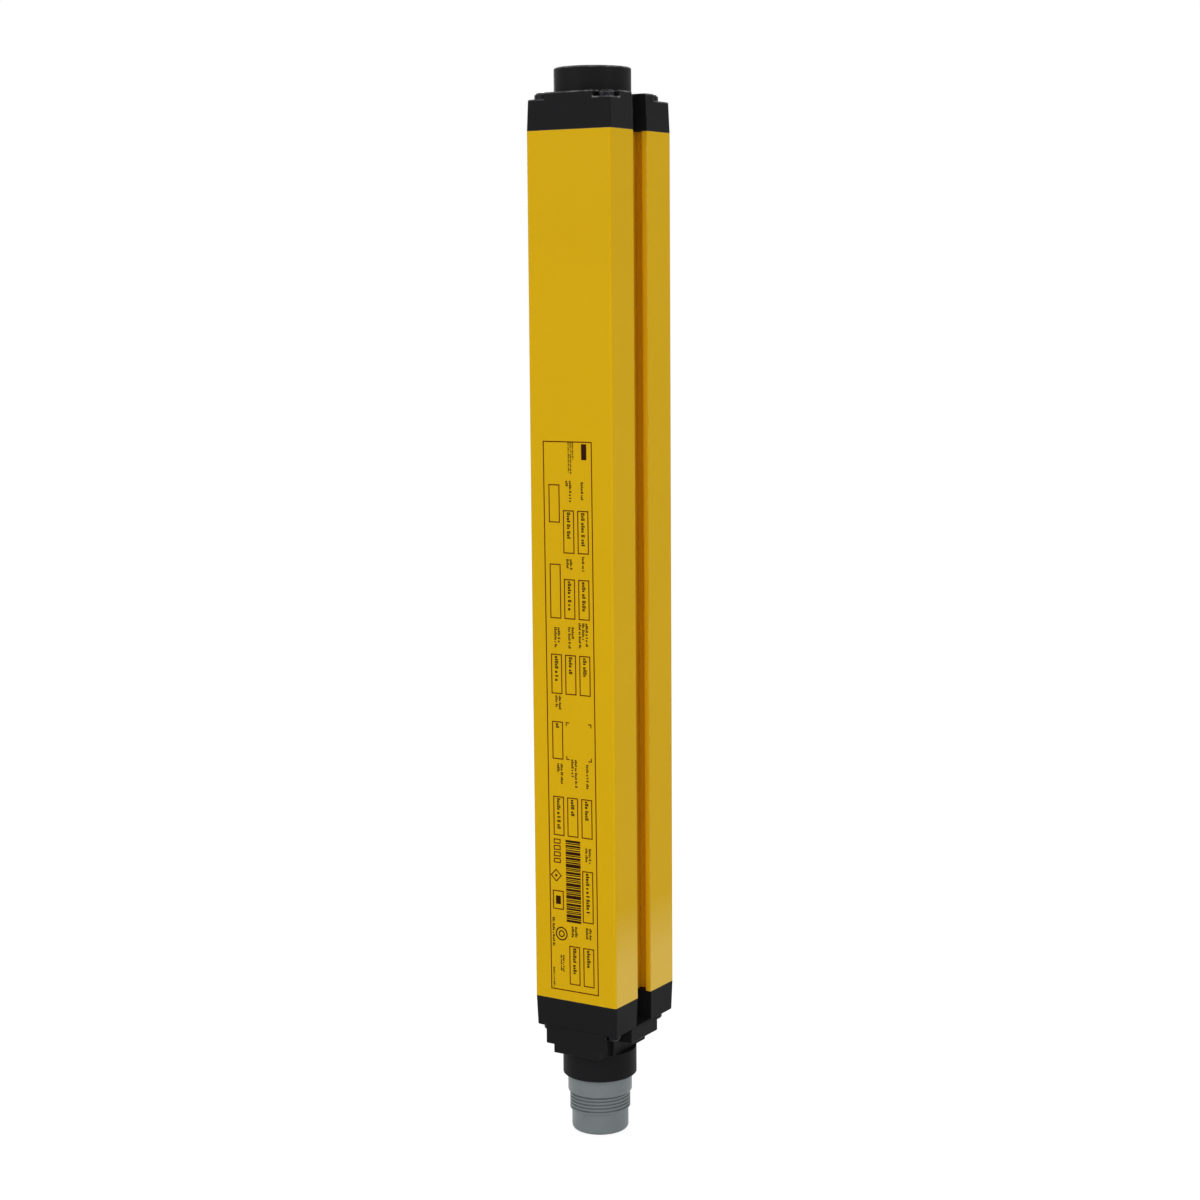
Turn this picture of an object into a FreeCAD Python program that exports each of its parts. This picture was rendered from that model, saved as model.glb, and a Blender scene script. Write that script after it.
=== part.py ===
"""Safety light curtain, sender unit, with a 300 mm protective field.

Units are millimetres.  +Z runs up the housing, the optical window faces -Y and the
rear (label) face looks along +Y.  The origin is on the axis of the two mounting
spigots, at the shoulder where the lower spigot meets the lower end cap.
"""
import FreeCAD, Part
import math
import os

V = FreeCAD.Vector

# ---------------------------------------------------------------- housing section
WIDTH = 40.0                # across the two slotted sides
DEPTH = 48.0                # from the rear face to the window side
SERVICE_LENGTH = 61.8       # profile length beyond the optics modules
CORNER_RADIUS = 1.0
WALL = 2.2
REAR_TO_AXIS = 19.2         # rear face to the axis of the mounting spigots

SLOT_FROM_REAR = 23.2       # rear face to the middle of the T-slots
SLOT_MOUTH = 11.0
SLOT_LIP = 2.5
SLOT_SLANT = 2.3            # depth of the slanted part behind each lip
SLOT_DEPTH = 7.0
SLOT_UNDERCUT = 18.6
SLOT_WALL = 1.6

SCREW_FROM_SIDE = 5.0
SCREW_FROM_REAR = 5.1
SCREW_FROM_FRONT = 8.4
SCREW_CORE_RADIUS = 2.0
SCREW_BOSS_RADIUS = 3.6
SCREW_SLIT = 1.6            # slit that opens each screw channel to the cavity
REACH = 1.0                 # length of a cut or a joined block past the face it crosses

RAIL_THICKNESS = 1.2        # ribs that hold the control board
RAIL_HEIGHT = 1.6
BOARD_THICKNESS = 1.6
BOARD_FROM_REAR = 9.6       # rear face to the back of the control board
BOARD_PLAY = 0.2

# ---------------------------------------------------------------- optical window
WINDOW_FROM_SIDE = 3.5
WINDOW_THICKNESS = 3.0
WINDOW_SET_BACK = 0.3
WINDOW_EDGE_BREAK = 0.5
WINDOW_PLAY = 0.2
LEDGE_WIDTH = 2.4
LEDGE_THICKNESS = 1.8
SEAL_THICKNESS = 0.8
SEAL_WIDTH = 1.8

# ---------------------------------------------------------------- end caps
CAP_DRAFT = 0.4             # taper of each side wall over the height of a cap
CAP_EDGE = 0.3              # broken outer edges
LOWER_CAP_HEIGHT = 12.8
UPPER_CAP_HEIGHT = 12.5
NOTCH_PLAY = 0.2            # the notch in a cap is wider than the slot mouth
NOTCH_FLARE = 0.5           # further widening of each side at the end of the lower notch
NOTCH_DEPTH = 6.9
NOTCH_FLOOR = 0.6           # web that closes the notch in the lower cap
CAVITY_TO_SLOT = 2.2        # cap wall between the wiring space and a notch
CAP_CAVITY_WALL = 3.6       # cap wall at the rear and the front of the cavity
CAP_CAVITY_DEPTH = 10.2
CAP_HOLE_RADIUS = 2.25
ACCESS_RADIUS = 4.2         # driver access through the foot of the lower cap
HEAD_PLAY = 0.25            # round a screw head in a pocket of the upper cap

BAR_TO_SCREW = 3.8          # raised bar between the screws, to their axes
BLOCK_ROUND_STEM = 2.1      # wall of the block beside the connector stem
BLOCK_TO_REAR = 9.0         # rear face to the block
BLOCK_LENGTH = 26.0
LOWER_FOOT_HEIGHT = 7.7
LOWER_BLOCK_HEIGHT = 11.3
WING_TO_REAR = 13.1         # rear face to the side wings that close the notches
WING_LENGTH = 21.5
WING_HEIGHT = 6.0
PLATEAU_HEIGHT = 2.6
PLATEAU_WING_TO_REAR = 8.5
PLATEAU_WING_LENGTH = 26.5
PLATEAU_BAR_TO_SCREW = 3.6

SPIGOT_RADIUS = 15.8
LOWER_SPIGOT_LENGTH = 11.6
UPPER_SPIGOT_LENGTH = 10.2
SPIGOT_EDGE = 0.4
HOLLOW_TO_SLOT = 0.5        # depth of a slot to the hollow of the upper spigot
UPPER_SPIGOT_END = 2.6

GASKET_THICKNESS = 1.0
GASKET_INSET = 1.2
GASKET_TO_SLOT = 0.7
GASKET_PLAY = 0.1
GASKET_TO_SCREW = 3.2       # screw axis to the edge of the cut-away corner

# ---------------------------------------------------------------- cap screws
SCREW_HEAD_RADIUS = 3.5
SCREW_HEAD_HEIGHT = 2.6
SCREW_HEAD_ROUND = 0.8
SCREW_SHANK_RADIUS = 1.95
SCREW_BITE = 9.0            # length that enters the profile
HEAD_SIDES = 24
SHANK_SIDES = 12
HEX_RADIUS = 1.6            # centre to the corners of the driver recess
HEX_DEPTH = 1.5

# ---------------------------------------------------------------- round connector
STEM_RADIUS = 11.1
STEM_PLAY = 0.1
STEM_LENGTH = 13.0
FLANGE_RADIUS = 13.75
FLANGE_LENGTH = 7.8
FLANGE_EDGE = 0.5
THREAD_RADIUS = 13.0
THREAD_LENGTH = 7.5
NOSE_RADIUS = 12.15
NOSE_LENGTH = 9.6
NOSE_ROUND = 1.3
NOSE_ROUND_STEPS = 2
SOCKET_BORE = 10.3
SHOULDER_BORE = 9.0
INSERT_LENGTH = 10.0
INSERT_FROM_MOUTH = 12.3
INSERT_PLAY = 0.1
HUB_RADIUS = 3.6
HUB_HEIGHT = 2.0
PIN_COUNT = 11
PIN_CIRCLE = 7.2
PIN_RADIUS = 0.75
EARTH_PIN_RADIUS = 1.25
PIN_OUT = 7.5
PIN_TAIL = 4.9
PIN_SIDES = 8
SEAL_RING_RADIUS = 12.3     # to the middle of its section
SEAL_RING_HALF_WIDTH = 0.75
SEAL_RING_GROOVE = 1.3
SEAL_RING_PLAY = 0.1
KEY_WIDTH = 2.4
KEY_HEIGHT = 1.0
KEY_FROM_MOUTH = 1.2
CONNECTOR_BOARD_RADIUS = 8.7
CONNECTOR_BOARD_SIDES = 24

# ---------------------------------------------------------------- optics
MODULE_COUNT = 2
MODULE_LENGTH = 150.0       # one optics module
MODULE_GAP = 0.4
BEAMS_PER_MODULE = 8
OPTICS_TOP_MARGIN = 4.0     # profile end to the upper module
CARRIER_FROM_WINDOW = 4.6   # back of the window to the front of the carriers
CARRIER_DEPTH = 22.0
CARRIER_TO_WAIST = 0.5      # play beside the carrier at the waist of the cavity
CARRIER_LAND = 4.0          # full-width depth at the front
CARRIER_NECK_HALF_WIDTH = 5.2
FOOT_TO_WAIST = 1.2
CARRIER_FOOT = 2.4
TUNNEL_WALL = 3.6           # between the mouths of two tunnels
TUNNEL_REAR_HALF = 2.5
LENS_PLATE_THICKNESS = 1.6
LENS_PLATE_TO_SIDE = 1.3    # side of the carrier to the edge of the lens plate
LENS_SPACE = 4.0            # between two lenses
LENS_RISE = 1.0
EMITTER_SIZE = 3.2
EMITTER_HEIGHT = 1.4
EMITTER_LENS_HEIGHT = 1.2
EMITTER_LENS_FOOT = 1.3
EMITTER_LENS_FACE = 0.8
SPACER_RADIUS = 2.3
MODULE_SCREW_SIDES = 12
MODULE_SCREW_RADIUS = 1.0
MODULE_SCREW_PLAY = 0.1
MODULE_SCREW_BITE = 6.0
MODULE_SCREW_HEAD_RADIUS = 1.9
MODULE_SCREW_HEAD = 1.5
BUFFER_TO_SIDE = 2.9
BUFFER_FRONT_INSET = 2.0

# ---------------------------------------------------------------- electronics
CONTROL_BOARD_FROM_END = 8.0
CONTROL_BOARD_TO_WALL = 0.3
CHIP_HEIGHT = 1.8
CHIP_HALF_WIDTH = 6.0
CHIP_LENGTH = 12.0
CHIP_BEAM_NUMBERS = (2, 4, 10, 12)   # beams that have a chip behind them
CAPACITOR_RADIUS = 4.0
CAPACITOR_HEIGHT = 6.4
CAPACITOR_SIDES = 20
CAPACITOR_COUNT = 3
CAPACITOR_PITCH = 10.0
CAPACITOR_FROM_BOARD_END = 20.0
DISPLAY_BOARD_LENGTH = 36.0
DISPLAY_BOARD_FROM_END = 8.0
DISPLAY_BOARD_FROM_WINDOW = 8.0
DISPLAY_WIDTH = 12.4
DISPLAY_HEIGHT = 19.0
DISPLAY_DEPTH = 6.4
DISPLAY_FROM_BOARD_END = 4.0
DIGIT_HEIGHT = 12.6
DIGIT_WIDTH = 7.0
SEGMENT_WIDTH = 1.3
SEGMENT_DEPTH = 0.3
SEGMENT_GAP = 0.15
LAMP_SIZE = 3.0
LAMP_HEIGHT = 1.8
LAMP_COUNT = 3
LAMP_PITCH = 5.0
LAMP_FROM_BOARD_END = 4.5
POST_RADIUS = 1.7
POST_FROM_BOARD_SIDE = 1.6
POST_FROM_BOARD_END = 3.0
FLEX_HALF_WIDTH = 5.0
FLEX_THICKNESS = 0.9
FLEX_Y = 3.05             # where the flexible circuit leaves the round board
FLEX_BEND = 8.0
FLEX_LAP = 10.0           # length that lies on the control board
FLEX_FROM_BOARD_END = 1.0
SPRING_THICKNESS = 0.4
SPRING_HALF_WIDTH = 3.0
SPRING_FOOT = 4.0
SPRING_RUN = 6.0

# ---------------------------------------------------------------- derived places
REAR_Y = REAR_TO_AXIS
FRONT_Y = REAR_Y - DEPTH
SLOT_Y = REAR_Y - SLOT_FROM_REAR
PROFILE_Z0 = LOWER_BLOCK_HEIGHT + LOWER_CAP_HEIGHT
PROFILE_LENGTH = MODULE_COUNT * MODULE_LENGTH + SERVICE_LENGTH
PROFILE_Z1 = PROFILE_Z0 + PROFILE_LENGTH
UPPER_CAP_TOP = PROFILE_Z1 + UPPER_CAP_HEIGHT
PLATEAU_TOP = UPPER_CAP_TOP + PLATEAU_HEIGHT
WINDOW_WIDTH = WIDTH - 2 * WINDOW_FROM_SIDE
WINDOW_FRONT_Y = FRONT_Y + WINDOW_SET_BACK
WINDOW_BACK_Y = WINDOW_FRONT_Y + WINDOW_THICKNESS
LEDGE_FRONT_Y = WINDOW_BACK_Y + SEAL_THICKNESS
LEDGE_BACK_Y = LEDGE_FRONT_Y + LEDGE_THICKNESS
OPENING_HALF_WIDTH = WINDOW_WIDTH / 2 - LEDGE_WIDTH
WAIST_HALF_WIDTH = WIDTH / 2 - SLOT_DEPTH - SLOT_WALL
SLOT_BODY_HALF = SLOT_UNDERCUT / 2 + SLOT_WALL
SLOT_FLOOR_X = WIDTH / 2 - SLOT_DEPTH
SCREW_X = WIDTH / 2 - SCREW_FROM_SIDE
CAP_CAVITY_HALF_WIDTH = SLOT_FLOOR_X - CAVITY_TO_SLOT
BAR_HALF_WIDTH = SCREW_X - BAR_TO_SCREW
BLOCK_HALF_WIDTH = STEM_RADIUS + BLOCK_ROUND_STEM
PLATEAU_BAR_HALF_WIDTH = SCREW_X - PLATEAU_BAR_TO_SCREW
UPPER_SPIGOT_BORE = SLOT_FLOOR_X - HOLLOW_TO_SLOT
CARRIER_HALF_WIDTH = WAIST_HALF_WIDTH - CARRIER_TO_WAIST
CARRIER_FOOT_HALF_WIDTH = WAIST_HALF_WIDTH - FOOT_TO_WAIST
LENS_PLATE_HALF_WIDTH = CARRIER_HALF_WIDTH - LENS_PLATE_TO_SIDE
BUFFER_HALF_WIDTH = CARRIER_HALF_WIDTH - BUFFER_TO_SIDE
POST_X = CARRIER_FOOT_HALF_WIDTH - POST_FROM_BOARD_SIDE
BOARD_BACK_Y = REAR_Y - BOARD_FROM_REAR
BOARD_FRONT_Y = BOARD_BACK_Y - BOARD_THICKNESS
CARRIER_FRONT_Y = WINDOW_BACK_Y + CARRIER_FROM_WINDOW
CARRIER_BACK_Y = CARRIER_FRONT_Y + CARRIER_DEPTH
EMITTER_BOARD_BACK_Y = CARRIER_BACK_Y + BOARD_THICKNESS
UPPER_MODULE_Z0 = PROFILE_Z1 - OPTICS_TOP_MARGIN - MODULE_LENGTH
LOWER_MODULE_Z0 = UPPER_MODULE_Z0 - (MODULE_COUNT - 1) * MODULE_LENGTH
BEAM_PITCH = MODULE_LENGTH / BEAMS_PER_MODULE
LENS_RADIUS = (BEAM_PITCH - LENS_SPACE) / 2
TUNNEL_FRONT_HALF = (BEAM_PITCH - TUNNEL_WALL) / 2
CONTROL_BOARD_Z0 = PROFILE_Z0 + CONTROL_BOARD_FROM_END
CONTROL_BOARD_Z1 = PROFILE_Z1 - CONTROL_BOARD_FROM_END
DISPLAY_BOARD_Y = WINDOW_BACK_Y + DISPLAY_BOARD_FROM_WINDOW
DISPLAY_BOARD_Z0 = PROFILE_Z0 + DISPLAY_BOARD_FROM_END
DISPLAY_BOARD_Z1 = DISPLAY_BOARD_Z0 + DISPLAY_BOARD_LENGTH
SPIGOT_END_Z = -LOWER_SPIGOT_LENGTH
THREAD_TOP_Z = SPIGOT_END_Z - FLANGE_LENGTH
THREAD_END_Z = THREAD_TOP_Z - THREAD_LENGTH
MOUTH_Z = THREAD_END_Z - NOSE_LENGTH
INSERT_FRONT_Z = MOUTH_Z + INSERT_FROM_MOUTH
INSERT_BACK_Z = INSERT_FRONT_Z + INSERT_LENGTH
STEM_TOP_Z = SPIGOT_END_Z + STEM_LENGTH
CONNECTOR_BOARD_Z = INSERT_BACK_Z + PIN_TAIL
CAVITY_FRONT_Y = FRONT_Y + CAP_CAVITY_WALL
CAVITY_BACK_Y = REAR_Y - CAP_CAVITY_WALL


# ---------------------------------------------------------------- small helpers
def box(x0, x1, y0, y1, z0, z1):
    """Solid box between two corners."""
    return Part.makeBox(x1 - x0, y1 - y0, z1 - z0, V(x0, y0, z0))


def rectangle_wire(half_width, y0, y1, z, radius):
    """Closed wire of a rectangle with rounded corners, centred on x = 0."""
    inner = half_width - radius
    a = y0 + radius
    b = y1 - radius
    k = radius * math.sqrt(0.5)
    corners = [
        (inner, a, 1, -1, V(inner, y0, z), V(half_width, a, z)),
        (inner, b, 1, 1, V(half_width, b, z), V(inner, y1, z)),
        (-inner, b, -1, 1, V(-inner, y1, z), V(-half_width, b, z)),
        (-inner, a, -1, -1, V(-half_width, a, z), V(-inner, y0, z)),
    ]
    edges = []
    previous = corners[-1][5]
    for cx, cy, sx, sy, start, end in corners:
        edges.append(Part.LineSegment(previous, start).toShape())
        middle = V(cx + sx * k, cy + sy * k, z)
        edges.append(Part.Arc(start, middle, end).toShape())
        previous = end
    return Part.Wire(edges)


def rectangle_face(half_width, y0, y1, z, radius):
    """Flat face of the same rounded rectangle."""
    return Part.Face(rectangle_wire(half_width, y0, y1, z, radius))


def flat(x0, x1, y0, y1, z):
    """Flat rectangular face at height z."""
    points = [V(x0, y0, z), V(x1, y0, z), V(x1, y1, z), V(x0, y1, z), V(x0, y0, z)]
    return Part.Face(Part.makePolygon(points))


def polygon(points, z):
    """Flat face through (x, y) points at height z."""
    return Part.Face(Part.makePolygon([V(x, y, z) for x, y in points + points[:1]]))


def block(x0, x1, y0, y1, z0, z1, edge_z):
    """Box whose four edges at height edge_z are broken."""
    shape = box(x0, x1, y0, y1, z0, z1)
    edges = []
    for edge in shape.Edges:
        if all(abs(vertex.Z - edge_z) < 0.01 for vertex in edge.Vertexes):
            edges.append(edge)
    return shape.makeChamfer(CAP_EDGE, edges)


def disc(x, y, z, radius):
    """Flat round face at height z."""
    return Part.Face(Part.Wire(Part.makeCircle(radius, V(x, y, z))))


def rod(x, y, z0, z1, radius):
    """Upright cylinder between two heights."""
    return Part.makeCylinder(radius, z1 - z0, V(x, y, z0))


def regular_prism(x, y, z0, z1, radius, sides):
    """Upright regular prism whose corners lie on the radius."""
    points = [(x + corner.x, y + corner.y) for corner in polygon_ring(radius, z0, sides)]
    return polygon(points, z0).extrude(V(0, 0, z1 - z0))


def prism_y(x, z, y0, y1, radius, sides):
    """Regular prism along Y between two depths."""
    upright = regular_prism(0, 0, 0, y1 - y0, radius, sides)
    upright.rotate(V(0, 0, 0), V(1, 0, 0), -90)
    upright.translate(V(x, y0, z))
    return upright


def stacked(rings):
    """Solid with flat facets through rings that have the same number of points."""
    outlines = [rings[0], rings[-1]]
    for low, high in zip(rings, rings[1:]):
        for step in range(len(low)):
            outlines.append([low[step - 1], low[step], high[step], high[step - 1]])
    faces = [Part.Face(Part.makePolygon(points + points[:1])) for points in outlines]
    solid = Part.makeSolid(Part.makeShell(faces))
    if solid.Volume < 0:
        solid.reverse()
    return solid


def square_ring(y, z, half):
    """Four corners of a square across Y, centred on x = 0."""
    return [V(x, y, z + dz) for x, dz in ((-half, -half), (half, -half), (half, half), (-half, half))]


def square_taper_y(z, y0, half0, y1, half1):
    """Square solid along Y on x = 0 that changes evenly from half0 to half1."""
    return stacked([square_ring(y0, z, half0), square_ring(y1, z, half1)])


def polygon_ring(radius, z, sides):
    """Corners of a regular polygon about the Z axis."""
    ring = []
    for step in range(sides):
        angle = math.radians(360 * (step + 0.5) / sides)
        ring.append(V(radius * math.cos(angle), radius * math.sin(angle), z))
    return ring


def turned(points):
    """Solid turned about the Z axis from (radius, height) points."""
    wire = Part.makePolygon([V(r, 0, z) for r, z in points + points[:1]])
    return Part.Face(wire).revolve(V(0, 0, 0), V(0, 0, 1), 360)


def joined(shapes):
    """One clean solid from several that touch or overlap."""
    first, rest = shapes[0], shapes[1:]
    return first.multiFuse(rest).removeSplitter()


def mirrored(shape):
    """Copy of a shape on the other side of x = 0."""
    return shape.mirror(V(0, 0, 0), V(1, 0, 0))


def both_sides(shape):
    """A shape and its mirror image."""
    return [shape, mirrored(shape)]


def screw_places():
    """Centres of the four cap screws."""
    rear = REAR_Y - SCREW_FROM_REAR
    front = FRONT_Y + SCREW_FROM_FRONT
    return [(x, y) for y in (rear, front) for x in (SCREW_X, -SCREW_X)]


def save(node, solids):
    """Write one node from a list of separate solids."""
    shape = solids[0] if len(solids) == 1 else Part.makeCompound(solids)
    if not shape.isValid():
        raise RuntimeError("invalid shape: " + node)
    shape.exportStep(os.path.join("parts", node + ".step"))
    volume = sum(solid.Volume for solid in solids)
    print("%-24s %3d solid(s) %10.1f mm3" % (node, len(shape.Solids), volume))


# ---------------------------------------------------------------- housing profile
def slot_face(z):
    """T-slot of the +X side: mouth, then a channel that slants outward behind the lips."""
    side = WIDTH / 2
    lip_x = side - SLOT_LIP
    slant_x = lip_x - SLOT_SLANT
    mouth = SLOT_MOUTH / 2
    wide = SLOT_UNDERCUT / 2
    points = [
        (side + REACH, SLOT_Y - mouth), (side + REACH, SLOT_Y + mouth), (lip_x, SLOT_Y + mouth),
        (slant_x, SLOT_Y + wide), (SLOT_FLOOR_X, SLOT_Y + wide), (SLOT_FLOOR_X, SLOT_Y - wide),
        (slant_x, SLOT_Y - wide), (lip_x, SLOT_Y - mouth),
    ]
    return polygon(points, z)


def cavity_face(z):
    """Inner cavity, narrowed at the waist by the walls of the two slots."""
    inner = WIDTH / 2 - WALL
    slant_x = WIDTH / 2 - SLOT_LIP - SLOT_SLANT
    near = SLOT_MOUTH / 2 + SLOT_WALL
    cavity = flat(-inner, inner, LEDGE_BACK_Y, REAR_Y - WALL, z)
    waist = polygon([
        (WIDTH, SLOT_Y - near), (inner, SLOT_Y - near), (slant_x, SLOT_Y - SLOT_BODY_HALF),
        (WAIST_HALF_WIDTH, SLOT_Y - SLOT_BODY_HALF), (WAIST_HALF_WIDTH, SLOT_Y + SLOT_BODY_HALF),
        (slant_x, SLOT_Y + SLOT_BODY_HALF), (inner, SLOT_Y + near), (WIDTH, SLOT_Y + near),
    ], z)
    for part in both_sides(waist):
        cavity = cavity.cut(part)
    return cavity


def rail_faces(z):
    """Ribs on both inner walls that hold the edges of the control board."""
    inner = WIDTH / 2 - WALL
    rear_screw_y = REAR_Y - SCREW_FROM_REAR
    front_y = BOARD_FRONT_Y - BOARD_PLAY
    faces = []
    for y0, y1 in ((BOARD_BACK_Y, rear_screw_y), (front_y - RAIL_THICKNESS, front_y)):
        faces += both_sides(flat(inner - RAIL_HEIGHT, inner + WALL / 2, y0, y1, z))
    return faces


def corner_faces(z):
    """Round screw channels and the webs that join them to the corners."""
    outer = rectangle_face(WIDTH / 2, FRONT_Y, REAR_Y, z, CORNER_RADIUS)
    faces = []
    for x, y in screw_places():
        wall_x = math.copysign(WIDTH / 2 - WALL / 2, x)
        wall_y = REAR_Y - WALL / 2 if y > 0 else LEDGE_BACK_Y - LEDGE_THICKNESS / 2
        faces.append(disc(x, y, z, SCREW_BOSS_RADIUS).common(outer).Faces[0])
        faces.append(flat(min(x, wall_x), max(x, wall_x), min(y, wall_y), max(y, wall_y), z))
    return faces


def bar(face):
    """Face drawn out to the length of the housing."""
    return face.extrude(V(0, 0, PROFILE_LENGTH))


def screw_channel_faces(x, y, z):
    """Round core of a screw channel and the slit that opens it to the cavity."""
    end = x - math.copysign(SCREW_BOSS_RADIUS + REACH, x)
    slit = flat(min(x, end), max(x, end), y - SCREW_SLIT / 2, y + SCREW_SLIT / 2, z)
    return [disc(x, y, z, SCREW_CORE_RADIUS), slit]


def housing_profile():
    """Extruded aluminium housing with slots, screw channels, rails and window rebate."""
    z = PROFILE_Z0
    outer = rectangle_face(WIDTH / 2, FRONT_Y, REAR_Y, z, CORNER_RADIUS)
    half = WINDOW_WIDTH / 2 + WINDOW_PLAY
    cuts = both_sides(slot_face(z))
    cuts.append(flat(-half, half, FRONT_Y - REACH, LEDGE_FRONT_Y, z))
    cuts.append(flat(-OPENING_HALF_WIDTH, OPENING_HALF_WIDTH, LEDGE_FRONT_Y, LEDGE_BACK_Y, z))
    for x, y in screw_places():
        cuts += screw_channel_faces(x, y, z)
    shell = bar(outer).cut(bar(cavity_face(z)))
    body = joined([shell] + [bar(face) for face in corner_faces(z) + rail_faces(z)])
    return body.cut([bar(face) for face in cuts]).removeSplitter().Solids


# ---------------------------------------------------------------- window and seals
def front_window():
    """Tinted acrylic window with broken front edges."""
    half = WINDOW_WIDTH / 2
    c = WINDOW_EDGE_BREAK
    outline = [
        (-half, WINDOW_BACK_Y), (half, WINDOW_BACK_Y), (half, WINDOW_FRONT_Y + c),
        (half - c, WINDOW_FRONT_Y), (-half + c, WINDOW_FRONT_Y), (-half, WINDOW_FRONT_Y + c),
    ]
    wire = Part.makePolygon([V(x, y, PROFILE_Z0) for x, y in outline + outline[:1]])
    return [Part.Face(wire).extrude(V(0, 0, PROFILE_LENGTH))]


def window_seal():
    """Sealing strip on the +X ledge, behind the window."""
    outer = OPENING_HALF_WIDTH + (LEDGE_WIDTH + SEAL_WIDTH) / 2
    return box(outer - SEAL_WIDTH, outer, WINDOW_BACK_Y, LEDGE_FRONT_Y, PROFILE_Z0, PROFILE_Z1)


# ---------------------------------------------------------------- end caps
def cap_wire(shrink, z):
    """Outline of a cap, smaller than the housing by shrink on every side."""
    return rectangle_wire(WIDTH / 2 - shrink, FRONT_Y + shrink, REAR_Y - shrink, z, CORNER_RADIUS)


def cap_body(z_profile, z_end):
    """Drafted box of a cap with a broken edge round its outer end."""
    edge_z = z_end + math.copysign(CAP_EDGE, z_profile - z_end)
    wires = [cap_wire(0, z_profile), cap_wire(CAP_DRAFT, edge_z), cap_wire(CAP_DRAFT + CAP_EDGE, z_end)]
    return Part.makeLoft(wires, True, True)


def cap_notch(z_profile, z_end, flare):
    """Notch that carries the +X slot through a cap, wider by flare on each side at z_end."""
    near = SLOT_MOUTH / 2 + NOTCH_PLAY
    far = near + flare
    before = z_profile + math.copysign(REACH, z_profile - z_end)
    x = SLOT_FLOOR_X + NOTCH_PLAY / 2
    points = [
        V(x, SLOT_Y - near, before), V(x, SLOT_Y + near, before), V(x, SLOT_Y + near, z_profile),
        V(x, SLOT_Y + far, z_end), V(x, SLOT_Y - far, z_end), V(x, SLOT_Y - near, z_profile),
    ]
    return Part.Face(Part.makePolygon(points + points[:1])).extrude(V(WIDTH, 0, 0))


def gasket_outline(z, play):
    """Outline shared by a gasket and the recess that holds it, clear of slots and screws."""
    half_width = WIDTH / 2 - GASKET_INSET + play
    front = FRONT_Y + GASKET_INSET - play
    rear = REAR_Y - GASKET_INSET + play
    edge = SLOT_FLOOR_X - GASKET_TO_SLOT + play
    half = SLOT_UNDERCUT / 2 + GASKET_TO_SLOT - play
    corner = SCREW_X - GASKET_TO_SCREW + play
    corner_rear = REAR_Y - SCREW_FROM_REAR - GASKET_TO_SCREW + play
    corner_front = FRONT_Y + SCREW_FROM_FRONT + GASKET_TO_SCREW - play
    outline = flat(-half_width, half_width, front, rear, z)
    cuts = both_sides(flat(edge, WIDTH, SLOT_Y - half, SLOT_Y + half, z))
    cuts += both_sides(flat(corner, WIDTH, corner_rear, REAR_Y, z))
    cuts += both_sides(flat(corner, WIDTH, FRONT_Y, corner_front, z))
    for part in cuts:
        outline = outline.cut(part)
    return outline


def cap_cavity(z0, z1):
    """Wiring space in a cap."""
    return box(-CAP_CAVITY_HALF_WIDTH, CAP_CAVITY_HALF_WIDTH, CAVITY_FRONT_Y, CAVITY_BACK_Y, z0, z1)


def lower_cap_relief():
    """Raised forms under the lower cap: bar, collar, block and wings."""
    top = LOWER_BLOCK_HEIGHT
    rear = REAR_Y - CAP_DRAFT
    front = FRONT_Y + CAP_DRAFT
    side = WIDTH / 2 - CAP_DRAFT
    block_back = REAR_Y - BLOCK_TO_REAR
    block_front = block_back - BLOCK_LENGTH
    wing_back = REAR_Y - WING_TO_REAR
    foot = top - LOWER_FOOT_HEIGHT
    wing = top - WING_HEIGHT
    return [
        block(-BAR_HALF_WIDTH, BAR_HALF_WIDTH, block_back - REACH, rear, 0, top, 0),
        block(-SCREW_X, SCREW_X, REAR_Y - SCREW_FROM_REAR, rear, foot, top, foot),
        block(-BLOCK_HALF_WIDTH, BLOCK_HALF_WIDTH, block_front, block_back, 0, top, 0),
        block(-BAR_HALF_WIDTH, BAR_HALF_WIDTH, front, block_front + REACH, foot, top, foot),
        block(-side, side, wing_back - WING_LENGTH, wing_back, wing, top, wing),
    ]


def spigot(z0, z1):
    """Round mounting spigot; its free end z1 has a broken edge."""
    edge_z = z1 + math.copysign(SPIGOT_EDGE, z0 - z1)
    side = [(SPIGOT_RADIUS, z0), (SPIGOT_RADIUS, edge_z), (SPIGOT_RADIUS - SPIGOT_EDGE, z1)]
    return turned([(0, z0)] + side + [(0, z1)])


def gasket_recess(z_profile, z_inner):
    """Recess in a cap that takes the gasket."""
    outline = gasket_outline(z_profile, GASKET_PLAY)
    return outline.extrude(V(0, 0, z_inner - z_profile))


def lower_end_cap():
    """Moulded lower cap with the spigot that holds the connector."""
    top = LOWER_BLOCK_HEIGHT
    body = joined([cap_body(PROFILE_Z0, top)] + lower_cap_relief())
    cuts = both_sides(cap_notch(PROFILE_Z0, top + NOTCH_FLOOR, NOTCH_FLARE))
    cuts.append(gasket_recess(PROFILE_Z0, PROFILE_Z0 - GASKET_THICKNESS))
    cuts.append(cap_cavity(PROFILE_Z0 - CAP_CAVITY_DEPTH, PROFILE_Z0))
    for x, y in screw_places():
        cuts.append(regular_prism(x, y, 0, PROFILE_Z0, CAP_HOLE_RADIUS, SHANK_SIDES))
        cuts.append(rod(x, y, 0, top, ACCESS_RADIUS))
    body = joined([body.cut(cuts), spigot(0, SPIGOT_END_Z)])
    bore = rod(0, 0, SPIGOT_END_Z, PROFILE_Z0 - CAP_CAVITY_DEPTH, STEM_RADIUS + STEM_PLAY)
    return [body.cut(bore).removeSplitter().Solids[0]]


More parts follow.
